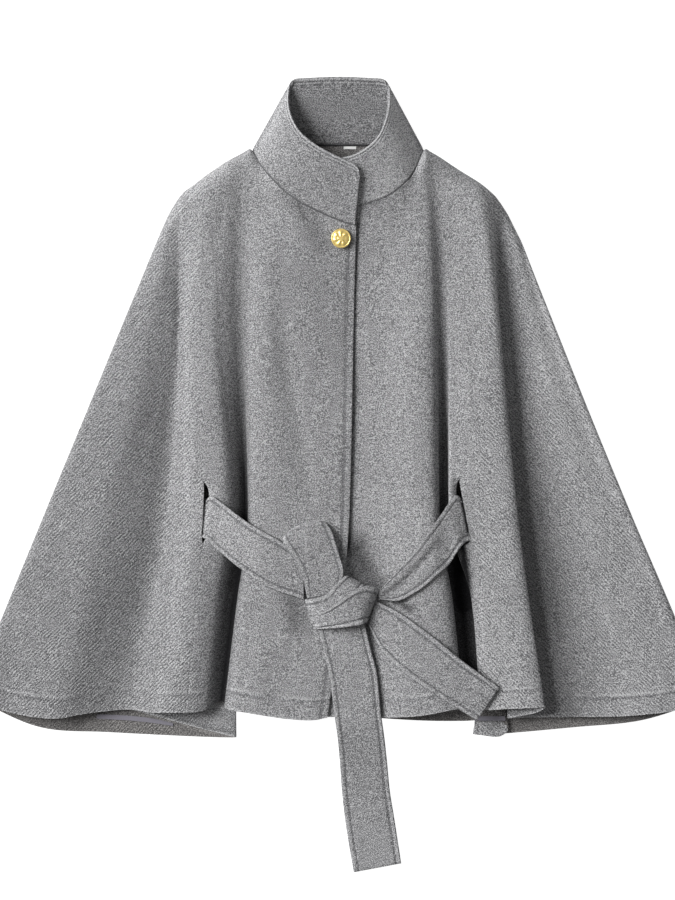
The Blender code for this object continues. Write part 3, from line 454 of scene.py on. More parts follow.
class Flow:
    """A number, vector or colour that runs through the shader, with Python's operators."""

    def __init__(self, graph: Graph, socket: bpy.types.NodeSocket) -> None:
        """Wraps a socket of that graph."""
        self.graph = graph
        self.socket = socket

    def _math(self, operation: str, *values: object, clamp: bool = False) -> "Flow":
        """A Math node on these values, in order."""
        return self.graph.flow("ShaderNodeMath", {"operation": operation, "use_clamp": clamp},
                               dict(enumerate(values)))

    def __add__(self, other: "Flow | float") -> "Flow":
        """Sum."""
        return self._math("ADD", self, other)

    def __radd__(self, other: float) -> "Flow":
        """Sum, reflected."""
        return self._math("ADD", other, self)

    def __sub__(self, other: "Flow | float") -> "Flow":
        """Difference."""
        return self._math("SUBTRACT", self, other)

    def __rsub__(self, other: float) -> "Flow":
        """Difference, reflected."""
        return self._math("SUBTRACT", other, self)

    def __mul__(self, other: "Flow | float") -> "Flow":
        """Product."""
        return self._math("MULTIPLY", self, other)

    def __rmul__(self, other: float) -> "Flow":
        """Product, reflected."""
        return self._math("MULTIPLY", other, self)

    def sine(self) -> "Flow":
        """Its sine."""
        return self._math("SINE", self)

    def absolute(self) -> "Flow":
        """Its size without its sign."""
        return self._math("ABSOLUTE", self)

    def ramp(self, low: float, high: float) -> "Flow":
        """0 below low and 1 above high, smooth between."""
        return self.graph.flow("ShaderNodeMapRange", {"interpolation_type": "SMOOTHSTEP"},
                               {"Value": self, "From Min": low, "From Max": high})

    def colour_between(self, one: tuple[float, float, float],
                       other: tuple[float, float, float]) -> "Flow":
        """The colour at this share of the way from one to the other."""
        return self.graph.flow("ShaderNodeMix", {"data_type": "RGBA"},
                               {"Factor": self, 6: (*one, 1.0), 7: (*other, 1.0)}, out=2)


@dataclass(frozen=True)
class Wool:
    """Grey flecked wool coating: its mean colour, its flecks and its twill."""

    name: str
    dark: tuple[float, float, float] = (0.12, 0.12, 0.125)
    light: tuple[float, float, float] = (0.58, 0.58, 0.59)
    base: float = 0.385
    twill: float = 0.22

    def build(self) -> bpy.types.Material:
        """Makes the material.

        Returns:
            The wool, with flecks, slubs, twill and a felted bump, and the painted shade and painted highlight
            that its pieces mark on it.
        """
        graph = Graph(self.name)
        place = graph.flow("ShaderNodeTexCoord", out="Object")
        parts = graph.node("ShaderNodeSeparateXYZ", values={0: place})
        across, along = Flow(graph, parts.outputs["X"]), Flow(graph, parts.outputs["Y"])

        def grain(scale: float, detail: float, stretch: tuple[float, float, float] = (1, 1, 1)) -> Flow:
            """Noise at that scale, to the metre, stretched along the axes."""
            laid = graph.flow("ShaderNodeMapping", {"vector_type": "POINT"},
                              {"Vector": place, "Scale": stretch})
            return graph.flow("ShaderNodeTexNoise", {"noise_dimensions": "3D"},
                              {"Vector": laid, "Scale": scale, "Detail": detail, "Roughness": 0.6})

        flecks = grain(880.0, 1.0)
        slubs = grain(560.0, 1.0, (0.16, 1.0, 1.0))
        clouds = grain(16.0, 2.0)
        pale = grain(820.0, 1.0, (0.7, 1.0, 1.0)).ramp(0.60, 0.74)
        wings = across.absolute().ramp(0.13, 0.19)
        drawn = (across.absolute() + along + (grain(170.0, 1.0) - 0.5) * 0.004) * (2 * math.pi / 0.0048)
        lines = drawn.sine() * grain(90.0, 1.0).ramp(0.32, 0.62)
        # Painted light and shade that the pieces mark on their points.
        painted_shade = graph.flow("ShaderNodeAttribute", {"attribute_name": "painted_shade"}, out="Fac")
        seam = graph.flow("ShaderNodeAttribute", {"attribute_name": "seam"}, out="Fac")
        # The seam mark darkens the wool as painted shade above 0 and lightens it as painted highlight below
        # 0.
        tone = (self.base + (flecks - 0.5) * 3.0 + (slubs - 0.5) * 0.5 + (clouds - 0.5) * 0.14
                + pale * 0.30 + lines * wings * self.twill - seam * 0.42)
        bump = graph.flow("ShaderNodeBump", values={
            "Strength": 0.7, "Distance": 0.0014, "Height": flecks + slubs * 0.6 + lines * wings * 0.25})
        wool = tone.ramp(0.0, 1.0).colour_between(self.dark, self.light)
        # Painted shade: the wool is multiplied towards near black where a piece marks it dim.
        shaded = graph.flow("ShaderNodeMix", {"data_type": "RGBA", "blend_type": "MULTIPLY"},
                            {"Factor": painted_shade, 6: wool, 7: (0.015, 0.015, 0.017, 1.0)}, out=2)
        shader = graph.node("ShaderNodeBsdfPrincipled", values={
            "Base Color": shaded,
            "Roughness": 0.95, "Specular IOR Level": 0.12, "Sheen Weight": 0.06,
            "Sheen Roughness": 0.5, "Normal": bump})
        graph.node("ShaderNodeOutputMaterial", values={"Surface": Flow(graph, shader.outputs[0])})
        return graph.material


@dataclass(frozen=True)
class Plain:
    """A fine-grained finish of one colour: tape, label weave, thread, brass or the table."""

    name: str
    colour: tuple[float, float, float]
    roughness: float
    metallic: float = 0.0
    grain_scale: float = 900.0
    grain_depth: float = 0.06
    bump: float = 0.1
    glow: float = 0.0

    def build(self) -> bpy.types.Material:
        """Makes the material.

        Returns:
            The finish, with a fine grain in its colour and its surface.
        """
        graph = Graph(self.name)
        place = graph.flow("ShaderNodeTexCoord", out="Object")
        grain = graph.flow("ShaderNodeTexNoise", values={
            "Vector": place, "Scale": self.grain_scale, "Detail": 2.0})
        dark = tuple(channel * (1 - self.grain_depth) for channel in self.colour)
        light = tuple(min(channel * (1 + self.grain_depth), 1.0) for channel in self.colour)
        bump = graph.flow("ShaderNodeBump", values={
            "Strength": self.bump, "Distance": 0.0004, "Height": grain})
        shader = graph.node("ShaderNodeBsdfPrincipled", values={
            "Base Color": grain.ramp(0.3, 0.7).colour_between(dark, light),
            "Roughness": self.roughness, "Metallic": self.metallic, "Normal": bump,
            "Emission Color": (1.0, 1.0, 1.0, 1.0), "Emission Strength": self.glow})
        graph.node("ShaderNodeOutputMaterial", values={"Surface": Flow(graph, shader.outputs[0])})
        return graph.material


# ------------------------------------------------------------------ curves and grids


def bell(away: np.ndarray, width: float) -> np.ndarray:
    """1 where away is 0, falling smoothly to nothing a few widths off."""
    return np.exp(-(away / width) ** 2)


def monotone(levels: Sequence[float], values: Sequence[float], at: np.ndarray) -> np.ndarray:
    """A smooth curve through the stations that never overshoots them.

    Args:
        levels: the stations' places, rising.
        values: the curve's value at each.
        at: the places to read.
    Returns:
        The curve's values there.
    """
    levels, values = np.asarray(levels, float), np.asarray(values, float)
    steps = np.diff(levels)
    slopes = np.diff(values) / steps
    tangents = np.zeros(len(levels))
    tangents[0], tangents[-1] = slopes[0], slopes[-1]
    for i in range(1, len(levels) - 1):
        if slopes[i - 1] * slopes[i] > 0:
            before, after = 2 * steps[i] + steps[i - 1], steps[i] + 2 * steps[i - 1]
            tangents[i] = (before + after) / (before / slopes[i - 1] + after / slopes[i])
    span = np.clip(np.searchsorted(levels, at, side="right") - 1, 0, len(levels) - 2)
    share = np.clip((at - levels[span]) / steps[span], 0, 1)
    cubed, squared = share ** 3, share ** 2
    return ((2 * cubed - 3 * squared + 1) * values[span]
            + (cubed - 2 * squared + share) * steps[span] * tangents[span]
            + (3 * squared - 2 * cubed) * values[span + 1]
            + (cubed - squared) * steps[span] * tangents[span + 1])


def spline(points: np.ndarray, steps: Sequence[int]) -> np.ndarray:
    """Centripetal Catmull-Rom curves through points, many curves at a time.

    Args:
        points: curves x points x 3.
        steps: how many steps each span gets.
    Returns:
        The finer curves, curves x places x 3.
    """
    before, after = 2 * points[:, :1] - points[:, 1:2], 2 * points[:, -1:] - points[:, -2:-1]
    ends = np.concatenate([before, points, after], axis=1)
    gaps = np.maximum(np.sqrt(np.linalg.norm(np.diff(ends, axis=1), axis=2)), 1e-6)
    found = []
    for i, count in enumerate(steps):
        four = [ends[:, i + k] for k in range(4)]
        knots = np.concatenate([np.zeros((len(points), 1)), np.cumsum(gaps[:, i:i + 3], axis=1)], axis=1)
        for step in range(count):
            at = knots[:, 1] + (knots[:, 2] - knots[:, 1]) * step / count
            layer = four
            for depth in (1, 2, 3):
                reach, first = (depth, 0) if depth < 3 else (1, 1)
                layer = [layer[j] + (layer[j + 1] - layer[j])
                         * ((at - knots[:, j + first])
                            / (knots[:, j + first + reach] - knots[:, j + first]))[:, None]
                         for j in range(len(layer) - 1)]
            found.append(layer[0])
    found.append(points[:, -1])
    return np.stack(found, axis=1)


def fold_line(fold: Fold, levels: Sequence[float], shares: np.ndarray, roll: float) -> np.ndarray:
    """The points down a fold line at these shares of its length.

    Args:
        fold: the line.
        levels: y at its three inner levels.
        shares: from 0 at its top to 1 at its hem.
        roll: the reach of the roll at its top, or 0.
    Returns:
        places x 3, in millimetres.
    """
    fall = (fold.top_y - fold.hem_y) * shares
    down = [fold.top_y - level for level in (fold.top_y, *levels, fold.hem_y)]
    x = monotone(down, (fold.top_x, fold.upper_x, fold.middle_x, fold.lower_x, fold.hem_x), fall)
    z = monotone(down, (fold.top_z, fold.upper_z, fold.middle_z, fold.lower_z, fold.hem_z), fall)
    if roll:
        near = np.minimum(fall / roll, 1.0)
        z = FOOT + (z - FOOT) * np.sqrt(1 - (1 - near) ** 2)
    return np.stack([x, fold.top_y - fall, z], axis=1)


def distance_to(path: Sequence[tuple[float, float]], places: np.ndarray) -> tuple[np.ndarray, np.ndarray]:
    """How far places in the plane are from a path, and how far along it their nearest point is.

    Args:
        path: its corners.
        places: ... x 2.
    Returns:
        The distances, and the shares of the path's length.
    """
    corners = np.asarray(path, float)
    lengths = np.linalg.norm(np.diff(corners, axis=0), axis=1)
    starts = np.concatenate([[0.0], np.cumsum(lengths)])
    best = np.full(places.shape[:-1], 1e9)
    share = np.zeros(places.shape[:-1])
    for i, length in enumerate(lengths):
        step = corners[i + 1] - corners[i]
        at = np.clip(((places - corners[i]) @ step) / length ** 2, 0, 1)
        away = np.linalg.norm(places - corners[i] - at[..., None] * step, axis=-1)
        nearer = away < best
        best = np.where(nearer, away, best)
        share = np.where(nearer, (starts[i] + at * length) / starts[-1], share)
    return best, share


def press(grid: np.ndarray, creases: Sequence[Crease]) -> np.ndarray:
    """Presses creases into a grid of points, fading at each end of each."""
    pressed = grid.copy()
    for crease in creases:
        away, share = distance_to(crease.path, grid[..., :2])
        fade = np.clip(np.minimum(share, 1 - share) / 0.25, 0, 1)
        fade = fade * fade * (3 - 2 * fade)
        pressed[..., 2] -= crease.depth * fade * bell(away, crease.width)
    return pressed


def painted_crease_shade(places: np.ndarray, creases: Sequence[Crease]) -> np.ndarray:
    """How much painted shade creases lay on these places; below 0 it is painted highlight.

    Args:
        places: ... x 3, in millimetres.
        creases: each adds its own dimness near its path.
    Returns:
        A share for each place.
    """
    dim = np.zeros(places.shape[:-1])
    for crease in creases:
        away, _ = distance_to(crease.path, places[..., :2])
        dim += crease.dim * bell(away, crease.width)
    return dim


def ripple(grid: np.ndarray, reach: float, height: float, seed: float) -> np.ndarray:
    """Adds the faint unevenness of soft cloth, the same at every run.

    Args:
        grid: rows x columns x 3, in millimetres.
        reach: the size of a swell.
        height: how high it stands.
        seed: where in the noise this sheet starts.
    Returns:
        The uneven grid.
    """
    uneven = grid.copy()
    rows, columns = grid.shape[:2]
    for i in range(rows):
        for j in range(columns):
            x, y = grid[i, j, 0], grid[i, j, 1]
            uneven[i, j, 2] += height * noise.noise(Vector((x / reach, y / (reach * 1.9), seed)))
    return uneven


# ------------------------------------------------------------------ meshes


def mark(made: bpy.types.Object, name: str, values: np.ndarray) -> None:
    """Stores a value for each of a mesh's points, for its material to read."""
    made.data.attributes.new(name, "FLOAT", "POINT").data.foreach_set("value", values.reshape(-1))


def mark_painted_light(made: bpy.types.Object, stitch_and_painted_light: np.ndarray, dim: np.ndarray) -> None:
    """Stores the wool's painted light and shade: its seam mark and how dim it lies in painted shade; painted
    shade below 0 becomes painted highlight in the seam mark.
    """
    mark(made, "seam", stitch_and_painted_light + PAINTED_LIGHT_GAIN * np.minimum(dim, 0))
    mark(made, "painted_shade", np.clip(dim, 0, 1))


def link_object(name: str, data: bpy.types.ID) -> bpy.types.Object:
    """An object at the origin with this data, in the scene."""
    made = bpy.data.objects.new(name, data)
    bpy.context.scene.collection.objects.link(made)
    return made


def make_object(name: str, points: np.ndarray, faces: Sequence[Sequence[int]],
                finishes: Sequence[bpy.types.Material]) -> bpy.types.Object:
    """An object at the origin with this mesh.

    Args:
        name: the piece's name.
        points: in millimetres.
        faces: the corners of each, by number.
        finishes: its materials.
    Returns:
        The object, smooth shaded.
    """
    mesh = bpy.data.meshes.new(name)
    mesh.from_pydata((points * MM).tolist(), [], [list(face) for face in faces])
    mesh.validate()
    mesh.shade_smooth()
    for finish in finishes:
        mesh.materials.append(finish)
    return link_object(name, mesh)


def grid_faces(rows: int, columns: int) -> list[tuple[int, int, int, int]]:
    """The faces of a grid of points, row by row."""
    return [(i * columns + j, i * columns + j + 1, (i + 1) * columns + j + 1, (i + 1) * columns + j)
            for i in range(rows - 1) for j in range(columns - 1)]


def ring_faces(rings: int, sides: int) -> list[tuple[int, ...]]:
    """The faces between closed rings of points, ring by ring."""
    return [(low + i, low + (i + 1) % sides, low + sides + (i + 1) % sides, low + sides + i)
            for low in range(0, (rings - 1) * sides, sides) for i in range(sides)]


@contextmanager
def edited(obj: bpy.types.Object) -> Iterator[bmesh.types.BMesh]:
    """Opens an object's mesh for editing and writes it back."""
    mesh = bmesh.new()
    mesh.from_mesh(obj.data)
    yield mesh
    mesh.to_mesh(obj.data)
    mesh.free()


def face_up(obj: bpy.types.Object) -> None:
    """Turns the sheet so that most of its area faces up."""
    with edited(obj) as mesh:
        mesh.normal_update()
        if sum(face.normal.z * face.calc_area() for face in mesh.faces) < 0:
            bmesh.ops.reverse_faces(mesh, faces=mesh.faces)


def add_wall(obj: bpy.types.Object, thickness: float, offset: float, rounding: float = 0.9,
             inner_slot: int = 0) -> bpy.types.Object:
    """Gives an open sheet its thickness and soft rims.

    Args:
        obj: the sheet.
        thickness: in millimetres.
        offset: -1 keeps the sheet as the outer face, 0 as the middle.
        rounding: the rims' radius, in millimetres.
        inner_slot: how far the inner face's material is from the outer one's.
    Returns:
        The sheet.
    """
    wall = obj.modifiers.new("Wall", "SOLIDIFY")
    wall.thickness = thickness * MM
    wall.offset = offset
    wall.use_even_offset = False
    wall.use_rim = True
    wall.material_offset = inner_slot
    rims = obj.modifiers.new("Soft rims", "BEVEL")
    rims.width = rounding * MM
    rims.segments = 2
    rims.limit_method = "ANGLE"
    rims.angle_limit = math.radians(70)
    rims.use_clamp_overlap = True
    return obj


def turned(name: str, profile: Sequence[tuple[float, float]], sides: int,
           centre: tuple[float, float, float], finish: bpy.types.Material) -> bpy.types.Object:
    """A closed shape turned about a vertical axis.

    Args:
        name: the piece's name.
        profile: radius and height of each ring, from below, in millimetres.
        sides: how many sides it has.
        centre: where its axis stands.
        finish: its material.
    Returns:
        The object.
    """
    turns = np.arange(sides) * 2 * math.pi / sides
    rings = [np.stack([r * np.cos(turns), r * np.sin(turns), np.full(sides, h)], axis=1) for r, h in profile]
    points = np.concatenate([*rings, [[0, 0, profile[0][1]]], [[0, 0, profile[-1][1]]]]) + np.array(centre)
    faces = ring_faces(len(profile), sides)
    foot, head, last = len(profile) * sides, len(profile) * sides + 1, (len(profile) - 1) * sides
    faces += [(foot, (i + 1) % sides, i) for i in range(sides)]
    faces += [(head, last + i, last + (i + 1) % sides) for i in range(sides)]
    return make_object(name, points, faces, [finish])


@dataclass
class Band:
    """A closed strip of cloth with rounded edges, through stations."""

    name: str
    stations: Sequence[Station]
    thickness: float
    face_offset: float = 0.0        # 0 where the stations are its middle, -0.5 its outer face
    steps: int = 8
    across: int = 22
    stitch_in: float = BELT_STITCH  # from its edges to their topstitching
    groove: float = 0.7
    # Painted highlight on the raised strip between each edge and its topstitching.
    rim: float = 0.45               # how much lighter its topstitched edges are
    # Painted shadow along its very edge.
    outline: float = 1.0            # how dark its very edge is
    double: bool = False            # two rows of topstitching at each edge
    corner: float = 0.0             # radius of its last end's second corner
    reach: float = 0.0              # how far its first edge runs on past the stations
    bend: Callable[[np.ndarray], np.ndarray] | None = None      # moves its points, if given
    joined: bool = False            # sewn on by its first edge, so that one has no topstitching
    # Painted shade for its points, and painted highlight where below 0, if given.
    shade: Callable[[np.ndarray], np.ndarray] | None = None     # how dim its points lie, if given
    creases: Sequence[Crease] = ()

    def middle(self) -> tuple[np.ndarray, np.ndarray]:
        """The two edges as fine curves."""
        stations = np.array([[station.one, station.other] for station in self.stations], float)
        edges = spline(stations.transpose(1, 0, 2), [self.steps] * (len(stations) - 1))
        outward = edges[0] - edges[1]
        outward /= np.linalg.norm(outward, axis=1)[:, None]
        return edges[0] + outward * self.reach, edges[1]

    def point(self, share: float, across: float, lift: float = 0.0) -> np.ndarray:
        """A point on its upper face: share along it, millimetres in from its first edge."""
        ones, others = self.middle()
        at = share * (len(ones) - 1)
        low = min(int(at), len(ones) - 2)
        one = ones[low] + (ones[low + 1] - ones[low]) * (at - low)
        other = others[low] + (others[low + 1] - others[low]) * (at - low)
        width = np.linalg.norm(other - one)
        found = one + (other - one) * (across / width if across >= 0 else 1 + across / width)
        found = found + np.array([0, 0, self.thickness * (0.5 + self.face_offset) + lift])
        return self.bend(found) if self.bend is not None else found

    @property
    def stitches(self) -> np.ndarray:
        """How far in from each edge its rows of topstitching run."""
        return self.stitch_in * np.array([1.0, 1.9] if self.double else [1.0])

    def places(self, width: float) -> np.ndarray:
        """How far in from its first edge its columns lie: closer at its edges and its stitches."""
        edge = np.array([0.0, 0.1, 0.35, 0.75, 1.3]) * self.thickness / 2
        inner = np.linspace(edge[-1], width - edge[-1], self.across + 1)[1:-1]
        close = (np.array([-1.8, -0.9, 0.0, 0.9, 1.8]) + self.stitches[:, None]).reshape(-1)
        for line in self.stitches:
            inner = inner[(np.abs(inner - line) > 2.2) & (np.abs(width - inner - line) > 2.2)]
        away = np.unique(np.concatenate([edge, inner, close, width - close, width - edge]))
        return away[(away >= 0) & (away <= width)]

    def stitch_and_painted_light(self, away: np.ndarray, width: float) -> tuple[np.ndarray, np.ndarray]:
        """Its topstitching across its width, with its painted light and shade.

        Args:
            away: how far in from its first edge each column lies.
            width: its mean width.
        Returns:
            How far the stitches sink each column, and its painted light and shade there: painted shade along
            its stitching, its sewn edge and its very edges, painted highlight on the strips between them.
        """
        near = np.minimum(away, width - away)
        # Painted shade along its stitching.
        stitched = bell(near - self.stitches[0], 1.0)
        # Painted highlight on the strip between each edge and its stitching.
        rim = self.rim * bell(near - 0.5 * self.stitch_in, 1.5)
        if self.double:
            stitched = 0.8 * (stitched + 0.6 * bell(near - self.stitches[1], 1.0))
            # Painted highlight on the strip between its two rows of stitching.
            rim = rim + 0.7 * self.rim * bell(near - 1.45 * self.stitch_in, 1.1)
        # Painted shadow along its very edge.
        outline = self.outline * bell(near, 0.6)
        if self.joined:
            sewn = away < width / 2
            # Painted shade along the edge it is sewn on by.
            stitched = np.where(sewn, 2.6 * bell(away, 2.0), stitched)
            rim = np.where(sewn, 0.0, rim)
            outline = np.where(sewn, 0.0, outline)
        return stitched, stitched - rim + outline

    def cut_corner(self, ones: np.ndarray, others: np.ndarray) -> np.ndarray:
        """Its second edge, drawn in at its last end to round that corner."""
        arc = np.concatenate([[0], np.cumsum(np.linalg.norm(np.diff(others, axis=0), axis=1))])
        into = np.clip(self.corner - (arc[-1] - arc), 0, None)
        cut = self.corner - np.sqrt(np.clip(self.corner ** 2 - into ** 2, 0, None))
        return others + (ones - others) / np.linalg.norm(ones - others, axis=1)[:, None] * cut[:, None]

    def shell(self, ones: np.ndarray, others: np.ndarray, shares: np.ndarray,
              heights: tuple[np.ndarray, np.ndarray]) -> tuple[np.ndarray, np.ndarray]:
        """Its two faces, with its ends rounded by a few more rows, thinner towards the tip.

        Args:
            ones: its first edge.
            others: its second edge.
            shares: how far across it each column lies.
            heights: how far its upper and its lower face stand off its middle at each column.
        Returns:
            The upper and the lower face, each rows x columns x 3.
        """
        along = np.gradient((ones + others) / 2, axis=0)
        normals = np.cross(along, others - ones)
        normals /= np.linalg.norm(normals, axis=1)[:, None]
        if normals[:, 2].sum() < 0:
            normals = -normals
        along /= np.linalg.norm(along, axis=1)[:, None]
        radius, last = self.thickness / 2, len(ones) - 1
        turns = [math.radians(a) for a in (90, 60, 30)]
        stops = [(0, -radius * math.sin(t), math.cos(t)) for t in turns]
        stops += [(i, 0.0, 1.0) for i in range(len(ones))]
        stops += [(last, radius * math.sin(t), math.cos(t)) for t in reversed(turns)]
        rows = []
        for i, push, thin in stops:
            base = ones[i] + (others[i] - ones[i]) * shares[:, None] + along[i] * push
            base = base + normals[i] * (self.face_offset * self.thickness)
            rows.append([base + normals[i] * (height * thin)[:, None] for height in heights])
        top, bottom = np.array(rows).transpose(1, 0, 2, 3)
        if self.bend is not None:
            top, bottom = self.bend(top), self.bend(bottom)
        return press(top, self.creases), bottom

    def build(self, finish: bpy.types.Material) -> bpy.types.Object:
        """Makes the strip.

        Args:
            finish: its material.
        Returns:
            The closed strip.
        """
        ones, others = self.middle()
        radius = self.thickness / 2
        width = float(np.mean(np.linalg.norm(others - ones, axis=1)))
        away = self.places(width)
        near = np.minimum(away, width - away)
        rounded = np.sqrt(np.clip(1 - (1 - np.minimum(near / radius, 1)) ** 2, 0, 1))
        stitched, lines = self.stitch_and_painted_light(away, width)
        heights = (radius * rounded - self.groove * stitched * (near > 1.0), -radius * rounded)
        if self.corner:
            others = self.cut_corner(ones, others)
        top, bottom = self.shell(ones, others, away / width, heights)
        rows, columns = top.shape[:2]
        points = np.concatenate([top.reshape(-1, 3), bottom.reshape(-1, 3)])
        faces = grid_faces(rows, columns)
        under = [tuple(rows * columns + corner for corner in reversed(face)) for face in faces]
        made = make_object(self.name, points, faces + under, [finish])
        # Painted shade from its creases and its shade function; painted highlight where below 0.
        dim = painted_crease_shade(points, self.creases) + (0.0 if self.shade is None else self.shade(points))
        mark_painted_light(made, np.tile(lines, 2 * rows), dim)
        with edited(made) as mesh:
            bmesh.ops.remove_doubles(mesh, verts=mesh.verts, dist=1e-6)
            bmesh.ops.recalc_face_normals(mesh, faces=mesh.faces)
        return made


# ------------------------------------------------------------------ stitches


def stitch_tree(finish: bpy.types.Material) -> bpy.types.NodeTree:
    """Geometry Nodes that lay stitches along a line.

    Args:
        finish: the thread's material.
    Returns:
        The tree, with its pitch, length and thickness as named inputs.
    """
    tree = bpy.data.node_groups.new("Topstitch row", "GeometryNodeTree")
    tree.interface.new_socket("Line", in_out="INPUT", socket_type="NodeSocketGeometry")
    for name, value in (("Pitch", 0.0045), ("Stitch length", 0.0032), ("Thread", 0.0004)):
        tree.interface.new_socket(name, in_out="INPUT", socket_type="NodeSocketFloat").default_value = value
    tree.interface.new_socket("Stitches", in_out="OUTPUT", socket_type="NodeSocketGeometry")
    nodes, link = tree.nodes, tree.links.new
    given, out = nodes.new("NodeGroupInput"), nodes.new("NodeGroupOutput")
    curve = nodes.new("GeometryNodeMeshToCurve")
    even = nodes.new("GeometryNodeResampleCurve")
    even.mode = "LENGTH"
    tangent = nodes.new("GeometryNodeInputTangent")
    turn = nodes.new("FunctionNodeAlignEulerToVector")
    turn.axis = "Z"
    thread = nodes.new("GeometryNodeMeshCylinder")
    thread.inputs["Vertices"].default_value = 6
    place = nodes.new("GeometryNodeInstanceOnPoints")
    realize = nodes.new("GeometryNodeRealizeInstances")
    dress = nodes.new("GeometryNodeSetMaterial")
    dress.inputs["Material"].default_value = finish
    link(given.outputs["Line"], curve.inputs["Mesh"])
    link(curve.outputs["Curve"], even.inputs["Curve"])
    link(given.outputs["Pitch"], even.inputs["Length"])
    link(tangent.outputs["Tangent"], turn.inputs["Vector"])
    link(given.outputs["Stitch length"], thread.inputs["Depth"])
    link(given.outputs["Thread"], thread.inputs["Radius"])
    link(even.outputs["Curve"], place.inputs["Points"])
    link(thread.outputs["Mesh"], place.inputs["Instance"])
    link(turn.outputs["Rotation"], place.inputs["Rotation"])
    link(place.outputs["Instances"], realize.inputs["Geometry"])
    link(realize.outputs["Geometry"], dress.inputs["Geometry"])
    link(dress.outputs["Geometry"], out.inputs["Stitches"])
    return tree


@dataclass
class Topstitching:
    """Rows of stitches along the edges and hems."""

    finish: bpy.types.Material
    pitch: float = 4.6
    length: float = 3.2
    thread: float = 0.33

    def build(self, name: str, lines: Sequence[np.ndarray]) -> bpy.types.Object:
        """Lays stitches along lines and makes them one mesh.

        Args:
            name: the piece's name.
            lines: points of each line, in millimetres.
        Returns:
            The stitches.
        """
        edges, start = [], 0
        for line in lines:
            edges += [(start + i, start + i + 1) for i in range(len(line) - 1)]
            start += len(line)
        mesh = bpy.data.meshes.new(name + "_line")
        mesh.from_pydata((np.concatenate(lines) * MM).tolist(), edges, [])
        carrier = link_object(name + "_line", mesh)
        tree = stitch_tree(self.finish)
        modifier = carrier.modifiers.new("Stitches", "NODES")
        modifier.node_group = tree
        sizes = {"Pitch": self.pitch * MM, "Stitch length": self.length * MM, "Thread": self.thread * MM}
        for item in tree.interface.items_tree:
            if item.item_type == "SOCKET" and item.in_out == "INPUT" and item.name in sizes:
                modifier[item.identifier] = sizes[item.name]
        evaluated = carrier.evaluated_get(bpy.context.evaluated_depsgraph_get())
        made = link_object(name, bpy.data.meshes.new_from_object(evaluated))
        made.data.name = name
        made.data.shade_smooth()
        bpy.data.objects.remove(carrier, do_unlink=True)
        return made


# ------------------------------------------------------------------ panels


def crossing(points: np.ndarray, distances: np.ndarray, reach: float) -> np.ndarray:
    """Where a line of points first passes a distance.

    Args:
        points: places x 3.
        distances: how far each is from the seam, rising or falling all along.
        reach: the distance to find.
    Returns:
        The point there.
    """
    after = int(np.argmax(distances > reach if distances[0] < reach else distances < reach))
    low, high = distances[after - 1], distances[after]
    return points[after - 1] + (points[after] - points[after - 1]) * ((reach - low) / (high - low))


